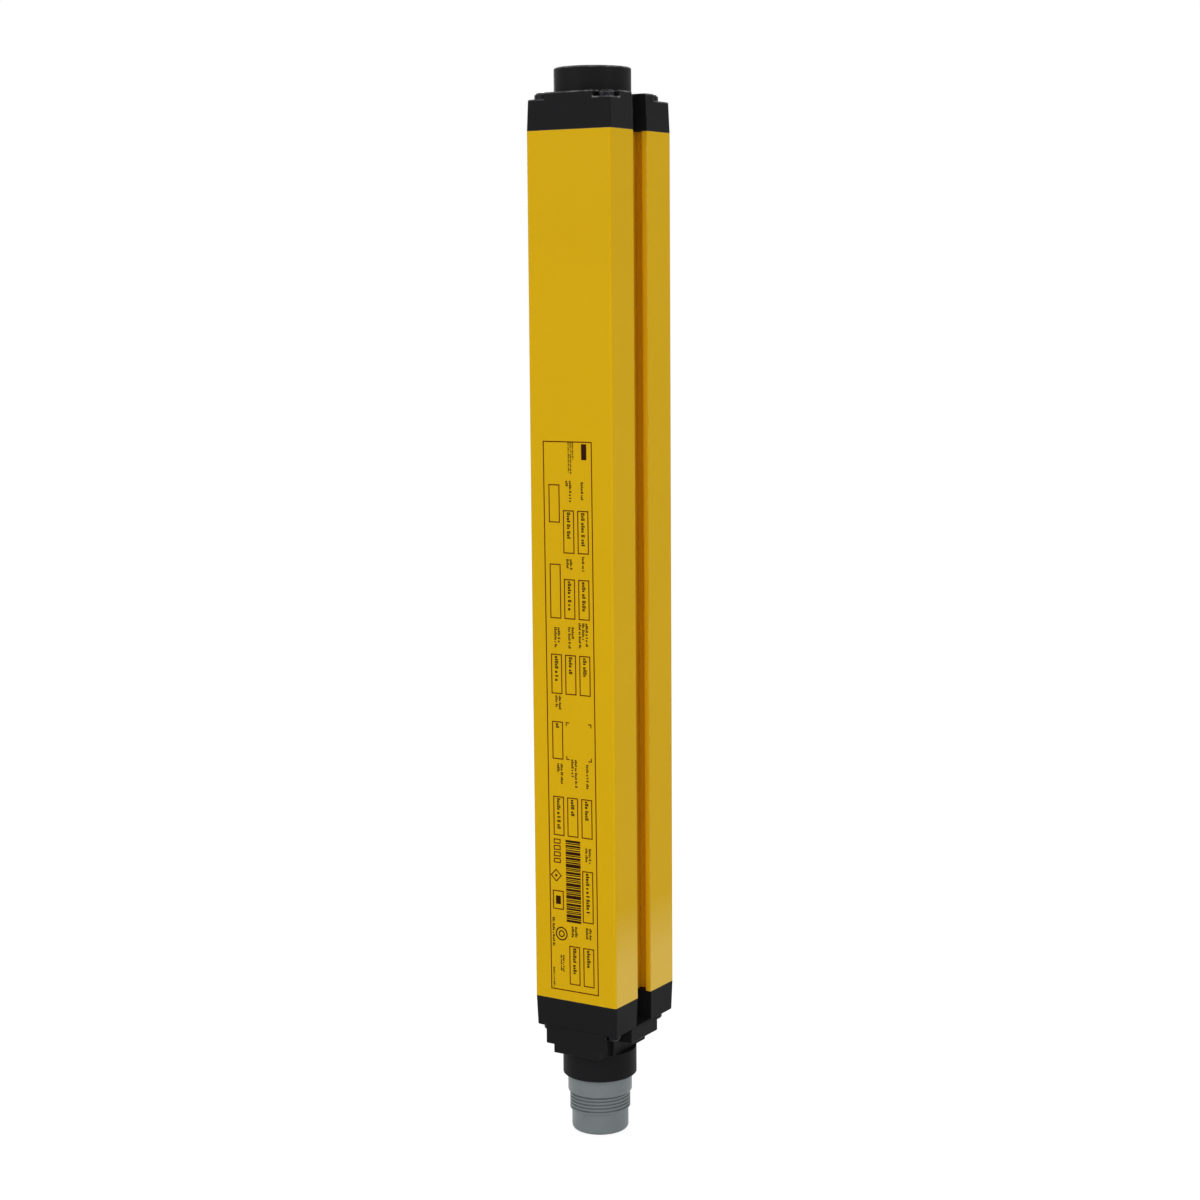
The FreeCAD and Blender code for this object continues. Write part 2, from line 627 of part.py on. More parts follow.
def upper_end_cap():
    """Moulded upper cap with a spigot that is hollow from inside."""
    rear = REAR_Y - CAP_DRAFT
    front = FRONT_Y + CAP_DRAFT
    side = WIDTH / 2 - CAP_DRAFT
    wing_back = REAR_Y - PLATEAU_WING_TO_REAR
    wing_front = wing_back - PLATEAU_WING_LENGTH
    base = UPPER_CAP_TOP
    top = PLATEAU_TOP
    half = PLATEAU_BAR_HALF_WIDTH
    body = joined([
        cap_body(PROFILE_Z1, base),
        block(-half, half, front, rear, base - REACH, top, top),
        block(-side, side, wing_front, wing_back, base - REACH, top, top),
    ])
    cuts = both_sides(cap_notch(PROFILE_Z1, top, 0))
    cuts.append(gasket_recess(PROFILE_Z1, PROFILE_Z1 + GASKET_THICKNESS))
    cuts.append(cap_cavity(PROFILE_Z1, PROFILE_Z1 + CAP_CAVITY_DEPTH))
    for x, y in screw_places():
        cuts.append(regular_prism(x, y, PROFILE_Z1, top, CAP_HOLE_RADIUS, SHANK_SIDES))
        cuts.append(rod(x, y, base, top, SCREW_HEAD_RADIUS + HEAD_PLAY))
    end = top + UPPER_SPIGOT_LENGTH
    body = joined([body.cut(cuts), spigot(top, end)])
    hollow = rod(0, 0, PROFILE_Z1 + CAP_CAVITY_DEPTH - REACH, end - UPPER_SPIGOT_END, UPPER_SPIGOT_BORE)
    return [body.cut(hollow).removeSplitter().Solids[0]]


def cap_gasket(z0):
    """Flat gasket between a cap and the end of the profile."""
    plate = gasket_outline(z0, 0).extrude(V(0, 0, GASKET_THICKNESS))
    return [plate.cut(cap_cavity(z0, z0 + GASKET_THICKNESS)).Solids[0]]


def cap_screw(seat_z, direction, cap_height):
    """Pan-head screw on the z axis; direction is +1 where the head points up."""
    rim = SCREW_HEAD_HEIGHT - SCREW_HEAD_ROUND
    top = seat_z + direction * SCREW_HEAD_HEIGHT
    tip = seat_z - direction * (cap_height + SCREW_BITE)
    head = [
        (SCREW_HEAD_RADIUS, seat_z), (SCREW_HEAD_RADIUS, seat_z + direction * rim),
        (SCREW_HEAD_RADIUS - SCREW_HEAD_ROUND, top),
    ]
    head = stacked([polygon_ring(radius, z, HEAD_SIDES) for radius, z in head])
    shank = regular_prism(0, 0, tip, seat_z, SCREW_SHANK_RADIUS, SHANK_SIDES)
    recess = regular_prism(0, 0, top - direction * HEX_DEPTH, top, HEX_RADIUS, 6)
    return joined([shank, head]).cut(recess).Solids[0]


def cap_screws(seat_z, direction, cap_height):
    """The four screws of one cap."""
    screws = []
    for x, y in screw_places():
        screw = cap_screw(seat_z, direction, cap_height)
        screw.translate(V(x, y, 0))
        screws.append(screw)
    return screws


# ---------------------------------------------------------------- round connector
def nose_points():
    """Outline of the nose with its rounded rim, down to the mouth."""
    points = [(NOSE_RADIUS, THREAD_END_Z)]
    for step in range(NOSE_ROUND_STEPS + 1):
        angle = math.radians(90 * step / NOSE_ROUND_STEPS)
        r = NOSE_RADIUS - NOSE_ROUND + NOSE_ROUND * math.cos(angle)
        points.append((r, MOUTH_Z + NOSE_ROUND - NOSE_ROUND * math.sin(angle)))
    return points


def connector_shell():
    """Moulded shell: stem in the spigot, flange, coupling thread, nose and key rib."""
    groove = SEAL_RING_HALF_WIDTH + SEAL_RING_PLAY
    groove_z = SPIGOT_END_Z - SEAL_RING_GROOVE
    outline = [
        (STEM_RADIUS, STEM_TOP_Z), (STEM_RADIUS, SPIGOT_END_Z),
        (SEAL_RING_RADIUS - groove, SPIGOT_END_Z), (SEAL_RING_RADIUS - groove, groove_z),
        (SEAL_RING_RADIUS + groove, groove_z), (SEAL_RING_RADIUS + groove, SPIGOT_END_Z),
        (FLANGE_RADIUS, SPIGOT_END_Z), (FLANGE_RADIUS, THREAD_TOP_Z + FLANGE_EDGE),
        (FLANGE_RADIUS - FLANGE_EDGE, THREAD_TOP_Z),
    ]
    outline += [(THREAD_RADIUS, THREAD_TOP_Z), (THREAD_RADIUS, THREAD_END_Z)]
    outline += nose_points()
    outline += [
        (SOCKET_BORE, MOUTH_Z), (SOCKET_BORE, INSERT_BACK_Z),
        (SHOULDER_BORE, INSERT_BACK_Z), (SHOULDER_BORE, STEM_TOP_Z),
    ]
    key = box(-KEY_WIDTH / 2, KEY_WIDTH / 2, SOCKET_BORE - KEY_HEIGHT, SOCKET_BORE + REACH,
              MOUTH_Z + KEY_FROM_MOUTH, INSERT_FRONT_Z)
    return [joined([turned(outline), key]).Solids[0]]


def connector_seal_ring():
    """Seal ring squeezed between the flange and the spigot."""
    inner = SEAL_RING_RADIUS - SEAL_RING_HALF_WIDTH
    outer = SEAL_RING_RADIUS + SEAL_RING_HALF_WIDTH
    z0 = SPIGOT_END_Z - SEAL_RING_GROOVE
    return [rod(0, 0, z0, SPIGOT_END_Z, outer).cut(rod(0, 0, z0, SPIGOT_END_Z, inner))]


def pin_places():
    """Centres of the contact pins on their circle."""
    places = []
    for step in range(PIN_COUNT):
        angle = math.radians(360 * step / PIN_COUNT + 90)
        places.append((PIN_CIRCLE * math.cos(angle), PIN_CIRCLE * math.sin(angle)))
    return places


def contact_pin(x, y, radius):
    """Contact pin from its free end to the round board."""
    return regular_prism(x, y, INSERT_FRONT_Z - PIN_OUT, CONNECTOR_BOARD_Z, radius, PIN_SIDES)


def connector_pins():
    """Eleven contact pins and the earth pin in the middle."""
    pins = [contact_pin(x, y, PIN_RADIUS) for x, y in pin_places()]
    return pins + [contact_pin(0, 0, EARTH_PIN_RADIUS)]


def connector_insert():
    """Insulating insert with a raised centre, moulded round the pins."""
    plate = rod(0, 0, INSERT_FRONT_Z, INSERT_BACK_Z, SOCKET_BORE - INSERT_PLAY)
    hub = rod(0, 0, INSERT_FRONT_Z - HUB_HEIGHT, INSERT_FRONT_Z, HUB_RADIUS)
    return [joined([plate, hub]).cut(connector_pins()).Solids[0]]


def connector_board():
    """Round board on the ends of the pins."""
    z0 = CONNECTOR_BOARD_Z
    z1 = z0 + BOARD_THICKNESS
    return [regular_prism(0, 0, z0, z1, CONNECTOR_BOARD_RADIUS, CONNECTOR_BOARD_SIDES)]


# ---------------------------------------------------------------- optics modules
def beam_heights(z0):
    """Heights of the beams of the module that starts at z0."""
    return [z0 + BEAM_PITCH * (step + 0.5) for step in range(BEAMS_PER_MODULE)]


def module_screw_heights(z0):
    """Heights of the two screws of a module, between its outer beams."""
    return [z0 + BEAM_PITCH, z0 + BEAM_PITCH * (BEAMS_PER_MODULE - 1)]


def rod_y(x, z, y0, y1, radius):
    """Cylinder along Y between two depths."""
    return Part.makeCylinder(radius, y1 - y0, V(x, y0, z), V(0, 1, 0))


def module_screw_prism(z, y0, y1, play):
    """Shank of a module screw, or the hole for it when play is added."""
    return prism_y(0, z, y0, y1, MODULE_SCREW_RADIUS + play, MODULE_SCREW_SIDES)


def optics_carrier(z0):
    """Moulded carrier with one tapered tunnel for each beam."""
    front = CARRIER_FRONT_Y
    back = CARRIER_BACK_Y
    wide = CARRIER_HALF_WIDTH
    neck = CARRIER_NECK_HALF_WIDTH
    foot = CARRIER_FOOT_HALF_WIDTH
    right = [
        (wide, front), (wide, front + CARRIER_LAND), (neck, back - CARRIER_FOOT),
        (foot, back - CARRIER_FOOT), (foot, back),
    ]
    left = [(-x, y) for x, y in reversed(right)]
    body = polygon(right + left, z0).extrude(V(0, 0, MODULE_LENGTH - MODULE_GAP))
    cuts = []
    for z in beam_heights(z0):
        cuts.append(square_taper_y(z, front, TUNNEL_FRONT_HALF, back, TUNNEL_REAR_HALF))
    for z in module_screw_heights(z0):
        cuts.append(module_screw_prism(z, back - MODULE_SCREW_BITE, back, 0))
    return [body.cut(cuts).Solids[0]]


def lens_plate(z0):
    """Clear plate in front of a carrier with one domed lens for each beam."""
    back = CARRIER_FRONT_Y
    front = back - LENS_PLATE_THICKNESS
    half = LENS_PLATE_HALF_WIDTH
    plate = box(-half, half, front, back, z0, z0 + MODULE_LENGTH - MODULE_GAP)
    sphere_radius = (LENS_RADIUS ** 2 + LENS_RISE ** 2) / (2 * LENS_RISE)
    depth = LENS_PLATE_THICKNESS / 4
    domes = []
    for z in beam_heights(z0):
        ball = Part.makeSphere(sphere_radius, V(0, front - LENS_RISE + sphere_radius, z))
        domes.append(ball.common(rod_y(0, z, front - LENS_RISE, front + depth, LENS_RADIUS + REACH)))
    return [joined([plate] + domes).Solids[0]]


def emitter_board(z0):
    """Board behind a carrier."""
    y0 = CARRIER_BACK_Y
    y1 = EMITTER_BOARD_BACK_Y
    half = CARRIER_FOOT_HALF_WIDTH
    board = box(-half, half, y0, y1, z0, z0 + MODULE_LENGTH - MODULE_GAP)
    holes = [module_screw_prism(z, y0, y1, MODULE_SCREW_PLAY) for z in module_screw_heights(z0)]
    return [board.cut(holes).Solids[0]]


def emitters(z0):
    """Infrared emitters on the board, one behind each tunnel, each with a tapered lens."""
    half = EMITTER_SIZE / 2
    face = CARRIER_BACK_Y - EMITTER_HEIGHT
    tip = face - EMITTER_LENS_HEIGHT
    solids = []
    for z in beam_heights(z0):
        body = box(-half, half, face, CARRIER_BACK_Y, z - half, z + half)
        lens = square_taper_y(z, tip, EMITTER_LENS_FACE, face, EMITTER_LENS_FOOT)
        solids.append(joined([body, lens]).Solids[0])
    return solids


def module_screw_places():
    """Heights of all the screws that hold the two modules."""
    return module_screw_heights(LOWER_MODULE_Z0) + module_screw_heights(UPPER_MODULE_Z0)


def board_spacers():
    """Hexagonal spacers between the emitter boards and the control board."""
    solids = []
    for z in module_screw_places():
        post = prism_y(0, z, EMITTER_BOARD_BACK_Y, BOARD_FRONT_Y, SPACER_RADIUS, 6)
        hole = module_screw_prism(z, EMITTER_BOARD_BACK_Y, BOARD_FRONT_Y, MODULE_SCREW_PLAY)
        solids.append(post.cut(hole).Solids[0])
    return solids


def module_screws():
    """Hexagon-head screws through the control board, the spacers and the emitter boards."""
    solids = []
    head_y = BOARD_BACK_Y + MODULE_SCREW_HEAD
    for z in module_screw_places():
        shank = module_screw_prism(z, CARRIER_BACK_Y - MODULE_SCREW_BITE, BOARD_BACK_Y, 0)
        head = prism_y(0, z, BOARD_BACK_Y, head_y, MODULE_SCREW_HEAD_RADIUS, 6)
        solids.append(joined([shank, head]).Solids[0])
    return solids


def end_buffer():
    """Rubber buffer between the upper module and the upper cap."""
    z0 = UPPER_MODULE_Z0 + MODULE_LENGTH - MODULE_GAP
    y0 = CARRIER_FRONT_Y + BUFFER_FRONT_INSET
    half = BUFFER_HALF_WIDTH
    return [box(-half, half, y0, CARRIER_BACK_Y, z0, PROFILE_Z1 + CAP_CAVITY_DEPTH)]


# ---------------------------------------------------------------- electronics
def post_places():
    """Centres (x, z) of the posts behind the display board."""
    low = DISPLAY_BOARD_Z0 + POST_FROM_BOARD_END
    high = DISPLAY_BOARD_Z1 - POST_FROM_BOARD_END
    return [(x, z) for x in (-POST_X, POST_X) for z in (low, high)]


def control_board():
    """Long control board held by the ribs of the housing."""
    half = WIDTH / 2 - WALL - CONTROL_BOARD_TO_WALL
    board = box(-half, half, BOARD_FRONT_Y, BOARD_BACK_Y, CONTROL_BOARD_Z0, CONTROL_BOARD_Z1)
    places = module_screw_places()
    holes = [module_screw_prism(z, BOARD_FRONT_Y, BOARD_BACK_Y, MODULE_SCREW_PLAY) for z in places]
    return [board.cut(holes).Solids[0]]


def control_chips():
    """Flat housings of the control circuits on the back of the board."""
    solids = []
    for number in CHIP_BEAM_NUMBERS:
        z0 = LOWER_MODULE_Z0 + BEAM_PITCH * (number + 0.5) - CHIP_LENGTH / 2
        y1 = BOARD_BACK_Y + CHIP_HEIGHT
        solids.append(box(-CHIP_HALF_WIDTH, CHIP_HALF_WIDTH, BOARD_BACK_Y, y1, z0, z0 + CHIP_LENGTH))
    return solids


def power_capacitors():
    """Round capacitors of the supply, standing on the back of the board."""
    solids = []
    for step in range(CAPACITOR_COUNT):
        z = CONTROL_BOARD_Z0 + CAPACITOR_FROM_BOARD_END + step * CAPACITOR_PITCH
        y1 = BOARD_BACK_Y + CAPACITOR_HEIGHT
        solids.append(prism_y(0, z, BOARD_BACK_Y, y1, CAPACITOR_RADIUS, CAPACITOR_SIDES))
    return solids


def display_board():
    """Small board behind the window for the display and the lamps."""
    half = CARRIER_FOOT_HALF_WIDTH
    y0 = DISPLAY_BOARD_Y
    return [box(-half, half, y0, y0 + BOARD_THICKNESS, DISPLAY_BOARD_Z0, DISPLAY_BOARD_Z1)]


def digit_segments(y, z):
    """Shallow pockets of the seven segments of one digit, centred at height z."""
    across = DIGIT_WIDTH / 2
    half_bar = SEGMENT_WIDTH / 2
    gap = half_bar + SEGMENT_GAP
    y1 = y + SEGMENT_DEPTH
    pockets = []
    for level in (-DIGIT_HEIGHT / 2, 0, DIGIT_HEIGHT / 2):
        pockets.append(box(-across + gap, across - gap, y, y1, z + level - half_bar, z + level + half_bar))
    for side in (-across, across):
        for low in (-DIGIT_HEIGHT / 2, 0):
            z0 = z + low + gap
            z1 = z + low + DIGIT_HEIGHT / 2 - gap
            pockets.append(box(side - half_bar, side + half_bar, y, y1, z0, z1))
    return pockets


def digit_display():
    """Seven-segment display."""
    z0 = DISPLAY_BOARD_Z0 + DISPLAY_FROM_BOARD_END
    y0 = DISPLAY_BOARD_Y - DISPLAY_DEPTH
    body = box(-DISPLAY_WIDTH / 2, DISPLAY_WIDTH / 2, y0, DISPLAY_BOARD_Y, z0, z0 + DISPLAY_HEIGHT)
    return [body.cut(digit_segments(y0, z0 + DISPLAY_HEIGHT / 2)).Solids[0]]


def status_lamps():
    """Square status lamps in a row above the digit."""
    z = DISPLAY_BOARD_Z1 - LAMP_FROM_BOARD_END
    half = LAMP_SIZE / 2
    solids = []
    for step in range(LAMP_COUNT):
        x = LAMP_PITCH * (step - (LAMP_COUNT - 1) / 2)
        y0 = DISPLAY_BOARD_Y - LAMP_HEIGHT
        solids.append(box(x - half, x + half, y0, DISPLAY_BOARD_Y, z - half, z + half))
    return solids


def display_posts():
    """Hexagonal posts between the display board and the control board."""
    y0 = DISPLAY_BOARD_Y + BOARD_THICKNESS
    return [prism_y(x, z, y0, BOARD_FRONT_Y, POST_RADIUS, 6) for x, z in post_places()]


def flex_circuit():
    """Flat flexible circuit that rises from the round board and laps onto the control board."""
    lap_y = BOARD_FRONT_Y - FLEX_THICKNESS / 2
    angle = math.acos(1 - (lap_y - FLEX_Y) / (2 * FLEX_BEND))
    rise = 2 * FLEX_BEND * math.sin(angle)
    z_start = CONNECTOR_BOARD_Z + BOARD_THICKNESS
    z_lap = CONTROL_BOARD_Z0 + FLEX_FROM_BOARD_END
    z_bend = z_lap - rise
    middle = V(0, (FLEX_Y + lap_y) / 2, z_bend + rise / 2)
    half = angle / 2
    dy = FLEX_BEND * (1 - math.cos(half))
    dz = FLEX_BEND * math.sin(half)
    start = V(0, FLEX_Y, z_bend)
    end = V(0, lap_y, z_lap)
    path = Part.Wire([
        Part.LineSegment(V(0, FLEX_Y, z_start), start).toShape(),
        Part.Arc(start, V(0, FLEX_Y + dy, z_bend + dz), middle).toShape(),
        Part.Arc(middle, V(0, lap_y - dy, z_lap - dz), end).toShape(),
        Part.LineSegment(end, V(0, lap_y, z_lap + FLEX_LAP)).toShape(),
    ])
    t = FLEX_THICKNESS / 2
    w = FLEX_HALF_WIDTH
    section = Part.makePolygon([
        V(-w, FLEX_Y - t, z_start), V(w, FLEX_Y - t, z_start), V(w, FLEX_Y + t, z_start),
        V(-w, FLEX_Y + t, z_start), V(-w, FLEX_Y - t, z_start),
    ])
    return [path.makePipeShell([section], True, False).Solids[0]]


def earth_spring():
    """Bent leaf spring that joins the control board to the housing wall."""
    y0 = BOARD_BACK_Y
    y1 = REAR_Y - WALL
    t = SPRING_THICKNESS
    z0 = UPPER_MODULE_Z0 - SPRING_FOOT - SPRING_RUN / 2
    za = z0 + SPRING_FOOT
    zb = za + SPRING_RUN
    zc = zb + SPRING_FOOT / 2
    outline = [
        (y0, z0), (y0, za + t), (y1 - t, zb), (y1 - t, zc),
        (y1, zc), (y1, zb - t), (y0 + t, za), (y0 + t, z0),
    ]
    points = [V(-SPRING_HALF_WIDTH, y, z) for y, z in outline + outline[:1]]
    return [Part.Face(Part.makePolygon(points)).extrude(V(2 * SPRING_HALF_WIDTH, 0, 0))]


# ---------------------------------------------------------------- nodes
def build():
    """Model every node and write it."""
    os.makedirs("parts", exist_ok=True)
    save("housing_profile", housing_profile())
    save("front_window", front_window())
    save("window_seals", both_sides(window_seal()))
    save("lower_end_cap", lower_end_cap())
    save("upper_end_cap", upper_end_cap())
    save("lower_cap_gasket", cap_gasket(PROFILE_Z0 - GASKET_THICKNESS))
    save("upper_cap_gasket", cap_gasket(PROFILE_Z1))
    save("lower_cap_screws", cap_screws(LOWER_BLOCK_HEIGHT, -1, LOWER_CAP_HEIGHT))
    save("upper_cap_screws", cap_screws(UPPER_CAP_TOP, 1, UPPER_CAP_HEIGHT))
    save("connector_shell", connector_shell())
    save("connector_insert", connector_insert())
    save("connector_pins", connector_pins())
    save("connector_seal_ring", connector_seal_ring())
    save("connector_board", connector_board())
    for name, z0 in (("lower", LOWER_MODULE_Z0), ("upper", UPPER_MODULE_Z0)):
        save("optics_carrier_" + name, optics_carrier(z0))
        save("lens_plate_" + name, lens_plate(z0))
        save("emitter_board_" + name, emitter_board(z0))
        save("emitters_" + name, emitters(z0))
    save("board_spacers", board_spacers())
    save("module_screws", module_screws())
    save("end_buffer", end_buffer())
    save("control_board", control_board())
    save("control_chips", control_chips())
    save("power_capacitors", power_capacitors())
    save("display_board", display_board())
    save("digit_display", digit_display())
    save("status_lamps", status_lamps())
    save("display_posts", display_posts())
    save("flex_circuit", flex_circuit())
    save("earth_spring", earth_spring())


build()
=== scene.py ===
"""Looks of a safety light curtain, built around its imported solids.

Everything is in metres, in the frame of the solids: +Z runs up the housing, the optical
window faces -Y and the printed rear face looks along +Y.
"""
import itertools
import logging
import math
from dataclasses import dataclass, field, replace
from enum import Enum
from typing import Callable, Iterable, Sequence

import bmesh
import bpy
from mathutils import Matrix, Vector


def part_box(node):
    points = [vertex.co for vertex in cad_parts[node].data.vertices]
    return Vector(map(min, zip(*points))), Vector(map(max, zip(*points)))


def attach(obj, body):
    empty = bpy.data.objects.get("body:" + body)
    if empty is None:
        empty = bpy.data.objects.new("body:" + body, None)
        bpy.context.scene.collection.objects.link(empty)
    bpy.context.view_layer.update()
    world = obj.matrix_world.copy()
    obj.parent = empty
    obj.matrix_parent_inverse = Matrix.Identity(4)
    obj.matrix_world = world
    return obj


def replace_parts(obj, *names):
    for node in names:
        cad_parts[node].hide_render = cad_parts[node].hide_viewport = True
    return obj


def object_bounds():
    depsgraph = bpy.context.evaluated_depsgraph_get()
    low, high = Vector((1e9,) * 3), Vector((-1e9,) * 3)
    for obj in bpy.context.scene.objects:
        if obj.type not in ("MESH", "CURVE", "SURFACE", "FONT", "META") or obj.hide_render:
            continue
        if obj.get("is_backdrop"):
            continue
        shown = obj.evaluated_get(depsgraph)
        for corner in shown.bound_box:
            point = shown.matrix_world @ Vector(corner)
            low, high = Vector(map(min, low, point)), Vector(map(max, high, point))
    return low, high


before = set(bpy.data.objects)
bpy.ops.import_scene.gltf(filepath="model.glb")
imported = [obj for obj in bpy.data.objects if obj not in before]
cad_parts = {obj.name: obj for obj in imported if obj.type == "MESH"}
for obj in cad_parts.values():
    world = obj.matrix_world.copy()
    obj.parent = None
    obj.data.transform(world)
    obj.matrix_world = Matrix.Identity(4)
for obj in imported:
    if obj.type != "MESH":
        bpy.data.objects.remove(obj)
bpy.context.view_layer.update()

log = logging.getLogger("light_curtain")

Colour = tuple[float, float, float]
Place = tuple[float, float, float]
Lengths = tuple[float, ...]
Piece = bpy.types.Object
Material = bpy.types.Material
Node = bpy.types.Node
Socket = bpy.types.NodeSocket
MM = 0.001
BODY = "root"


def mm(*lengths: float) -> Lengths:
    """Lengths given in millimetres, in metres."""
    return tuple(length * MM for length in lengths)


# ------------------------------------------------------------------ shader graph
class Graph:
    """Places and joins the nodes of one shader tree."""

    def __init__(self, tree: bpy.types.NodeTree) -> None:
        """Starts on an empty tree."""
        self.tree = tree
        self.tree.nodes.clear()

    def node(self, kind: str, inputs: dict | None = None, **settings: object) -> Node:
        """Adds one node.

        Args:
            kind: the node's type without its leading "ShaderNode".
            inputs: values or sockets by input name or number.
            **settings: the node's own properties.

        Returns:
            The new node.
        """
        node = self.tree.nodes.new("ShaderNode" + kind)
        for name, value in settings.items():
            setattr(node, name, value)
        for key, value in (inputs or {}).items():
            if isinstance(value, Socket):
                self.tree.links.new(value, node.inputs[key])
            else:
                node.inputs[key].default_value = value
        return node

    def math(self, operation: str, *values: float | Socket) -> Socket:
        """Result of one Math node on one to three values."""
        return self.node("Math", dict(enumerate(values)), operation=operation).outputs[0]

    def times(self, first: Socket, second: float | Socket) -> Socket:
        """Product of two values; for two masks, one where both are one."""
        return self.math("MULTIPLY", first, second)

    def above(self, value: Socket, limit: float) -> Socket:
        """One where the value is over the limit, zero elsewhere."""
        return self.math("GREATER_THAN", value, limit)

    def below(self, value: Socket, limit: float) -> Socket:
        """One where the value is under the limit, zero elsewhere."""
        return self.math("LESS_THAN", value, limit)

    def between(self, value: Socket, low: float, high: float) -> Socket:
        """One where the value lies between two limits, zero elsewhere."""
        return self.times(self.above(value, low), self.below(value, high))

    def opposite(self, mask: Socket) -> Socket:
        """One where the mask is zero, zero where it is one."""
        return self.math("SUBTRACT", 1.0, mask)

    def along(self, vector: Socket, axis: str) -> Socket:
        """One coordinate of a vector."""
        return self.node("SeparateXYZ", {0: vector}).outputs[axis]

    def from_middle(self, vector: Socket) -> Socket:
        """Distance from the middle of the housing, towards either side."""
        return self.math("ABSOLUTE", self.along(vector, "X"))

    def noise(self, coords: Socket, scale: float | Socket, detail: float, roughness: float = 0.5) -> Socket:
        """Soft noise around one half."""
        inputs = {"Vector": coords, "Scale": scale, "Detail": detail, "Roughness": roughness}
        return self.node("TexNoise", inputs).outputs[0]

    def spread(
        self, value: Socket, low: float | Socket, high: float, out_low: float, out_high: float
    ) -> Socket:
        """Value moved from one range to another and held inside it."""
        ends = {"From Min": low, "From Max": high, "To Min": out_low, "To Max": out_high}
        return self.node("MapRange", {"Value": value, **ends}).outputs["Result"]

    def mix(self, factor: float | Socket, first: object, second: object) -> Socket:
        """Colour between two colours."""
        ends = [end if isinstance(end, Socket) else (*end, 1.0) for end in (first, second)]
        return self.node("Mix", {0: factor, 6: ends[0], 7: ends[1]}, data_type="RGBA").outputs[2]


@dataclass(frozen=True)
class Effect:
    """A shader node group that several finishes share."""

    name: str
    inputs: tuple[tuple[str, str], ...]
    outputs: tuple[tuple[str, str], ...]
    fill: Callable[[Graph, Node, Node], None]

    def tree(self) -> bpy.types.NodeTree:
        """The group's tree, built the first time that it is asked for.

        Returns:
            The tree.
        """
        tree = bpy.data.node_groups.get(self.name)
        if tree is None:
            tree = bpy.data.node_groups.new(self.name, "ShaderNodeTree")
            for direction, sockets in (("INPUT", self.inputs), ("OUTPUT", self.outputs)):
                for name, kind in sockets:
                    tree.interface.new_socket(name=name, in_out=direction, socket_type="NodeSocket" + kind)
            graph = Graph(tree)
            self.fill(graph, tree.nodes.new("NodeGroupInput"), tree.nodes.new("NodeGroupOutput"))
        return tree

    def place(self, graph: Graph, inputs: dict) -> Node:
        """The group as one node of a material."""
        return graph.node("Group", inputs, node_tree=self.tree())


def fill_grain(graph: Graph, source: Node, sink: Node) -> None:
    """Fine moulded or sprayed grain as a height.

    Args:
        graph: the group's tree.
        source: the group's inputs.
        sink: the group's outputs.
    """
    coarser, coarse_share, lowest, highest = 0.31, 0.6, 0.4, 1.2
    coords, scale = source.outputs["Vector"], source.outputs["Scale"]
    fine = graph.noise(coords, scale, detail=2.0, roughness=0.55)
    coarse = graph.noise(coords, graph.times(scale, coarser), detail=1.0)
    height = graph.math("MULTIPLY_ADD", coarse, coarse_share, fine)
    graph.tree.links.new(graph.spread(height, lowest, highest, 0.0, 1.0), sink.inputs["Height"])


def fill_blotch(graph: Graph, source: Node, sink: Node) -> None:
    """Slow, soft change of tone across a surface, from 0 to 1."""
    cloud = graph.noise(source.outputs["Vector"], source.outputs["Scale"], detail=3.0)
    graph.tree.links.new(graph.spread(cloud, 0.3, 0.7, 0.0, 1.0), sink.inputs["Tone"])


def fill_worn_and_highlit_edges(graph: Graph, source: Node, sink: Node) -> None:
    """Softened edges: their rounded normal, and a mask that is strongest on the edge. The mask stands for
    wear, and where it is kept to the upper edges it is a painted highlight of light from above.

    Args:
        graph: the group's tree.
        source: the group's inputs.
        sink: the group's outputs.
    """
    flat_turn, patch_scale, least_worn = 0.999, 260.0, 0.25
    rounded = graph.node("Bevel", {"Radius": source.outputs["Radius"]}, samples=6).outputs[0]
    flat = graph.node("NewGeometry").outputs["Normal"]
    turn = graph.node("VectorMath", {0: rounded, 1: flat}, operation="DOT_PRODUCT").outputs["Value"]
    ridge = graph.spread(turn, source.outputs["Full Turn"], flat_turn, 1.0, 0.0)
    patch = graph.noise(source.outputs["Vector"], patch_scale, detail=4.0)
    worn_and_highlit = graph.times(ridge, graph.spread(patch, 0.38, 0.62, least_worn, 1.0))
    # edges that face down lose the mask when only upper edges are asked for, so what stays is a painted
    # highlight of light from above
    looks_down = graph.spread(graph.along(rounded, "Z"), 0.12, 0.5, 1.0, 0.0)
    lit_from_above = graph.opposite(graph.times(looks_down, source.outputs["Lit Upper Edges Only"]))
    graph.tree.links.new(graph.times(worn_and_highlit, lit_from_above), sink.inputs["Mask"])
    graph.tree.links.new(rounded, sink.inputs["Normal"])


def fill_dust(graph: Graph, source: Node, sink: Node) -> None:
    """Thin dust that settles on faces that look up.

    Args:
        graph: the group's tree.
        source: the group's inputs.
        sink: the group's outputs.
    """
    on_walls, speck_scale = 0.15, 140.0
    up = graph.along(graph.node("NewGeometry").outputs["Normal"], "Z")
    lying = graph.spread(up, 0.3, 1.0, on_walls, 1.0)
    cloud = graph.noise(source.outputs["Vector"], speck_scale, detail=6.0)
    specks = graph.times(lying, graph.spread(cloud, 0.42, 0.72, 0.0, 1.0))
    graph.tree.links.new(specks, sink.inputs["Mask"])


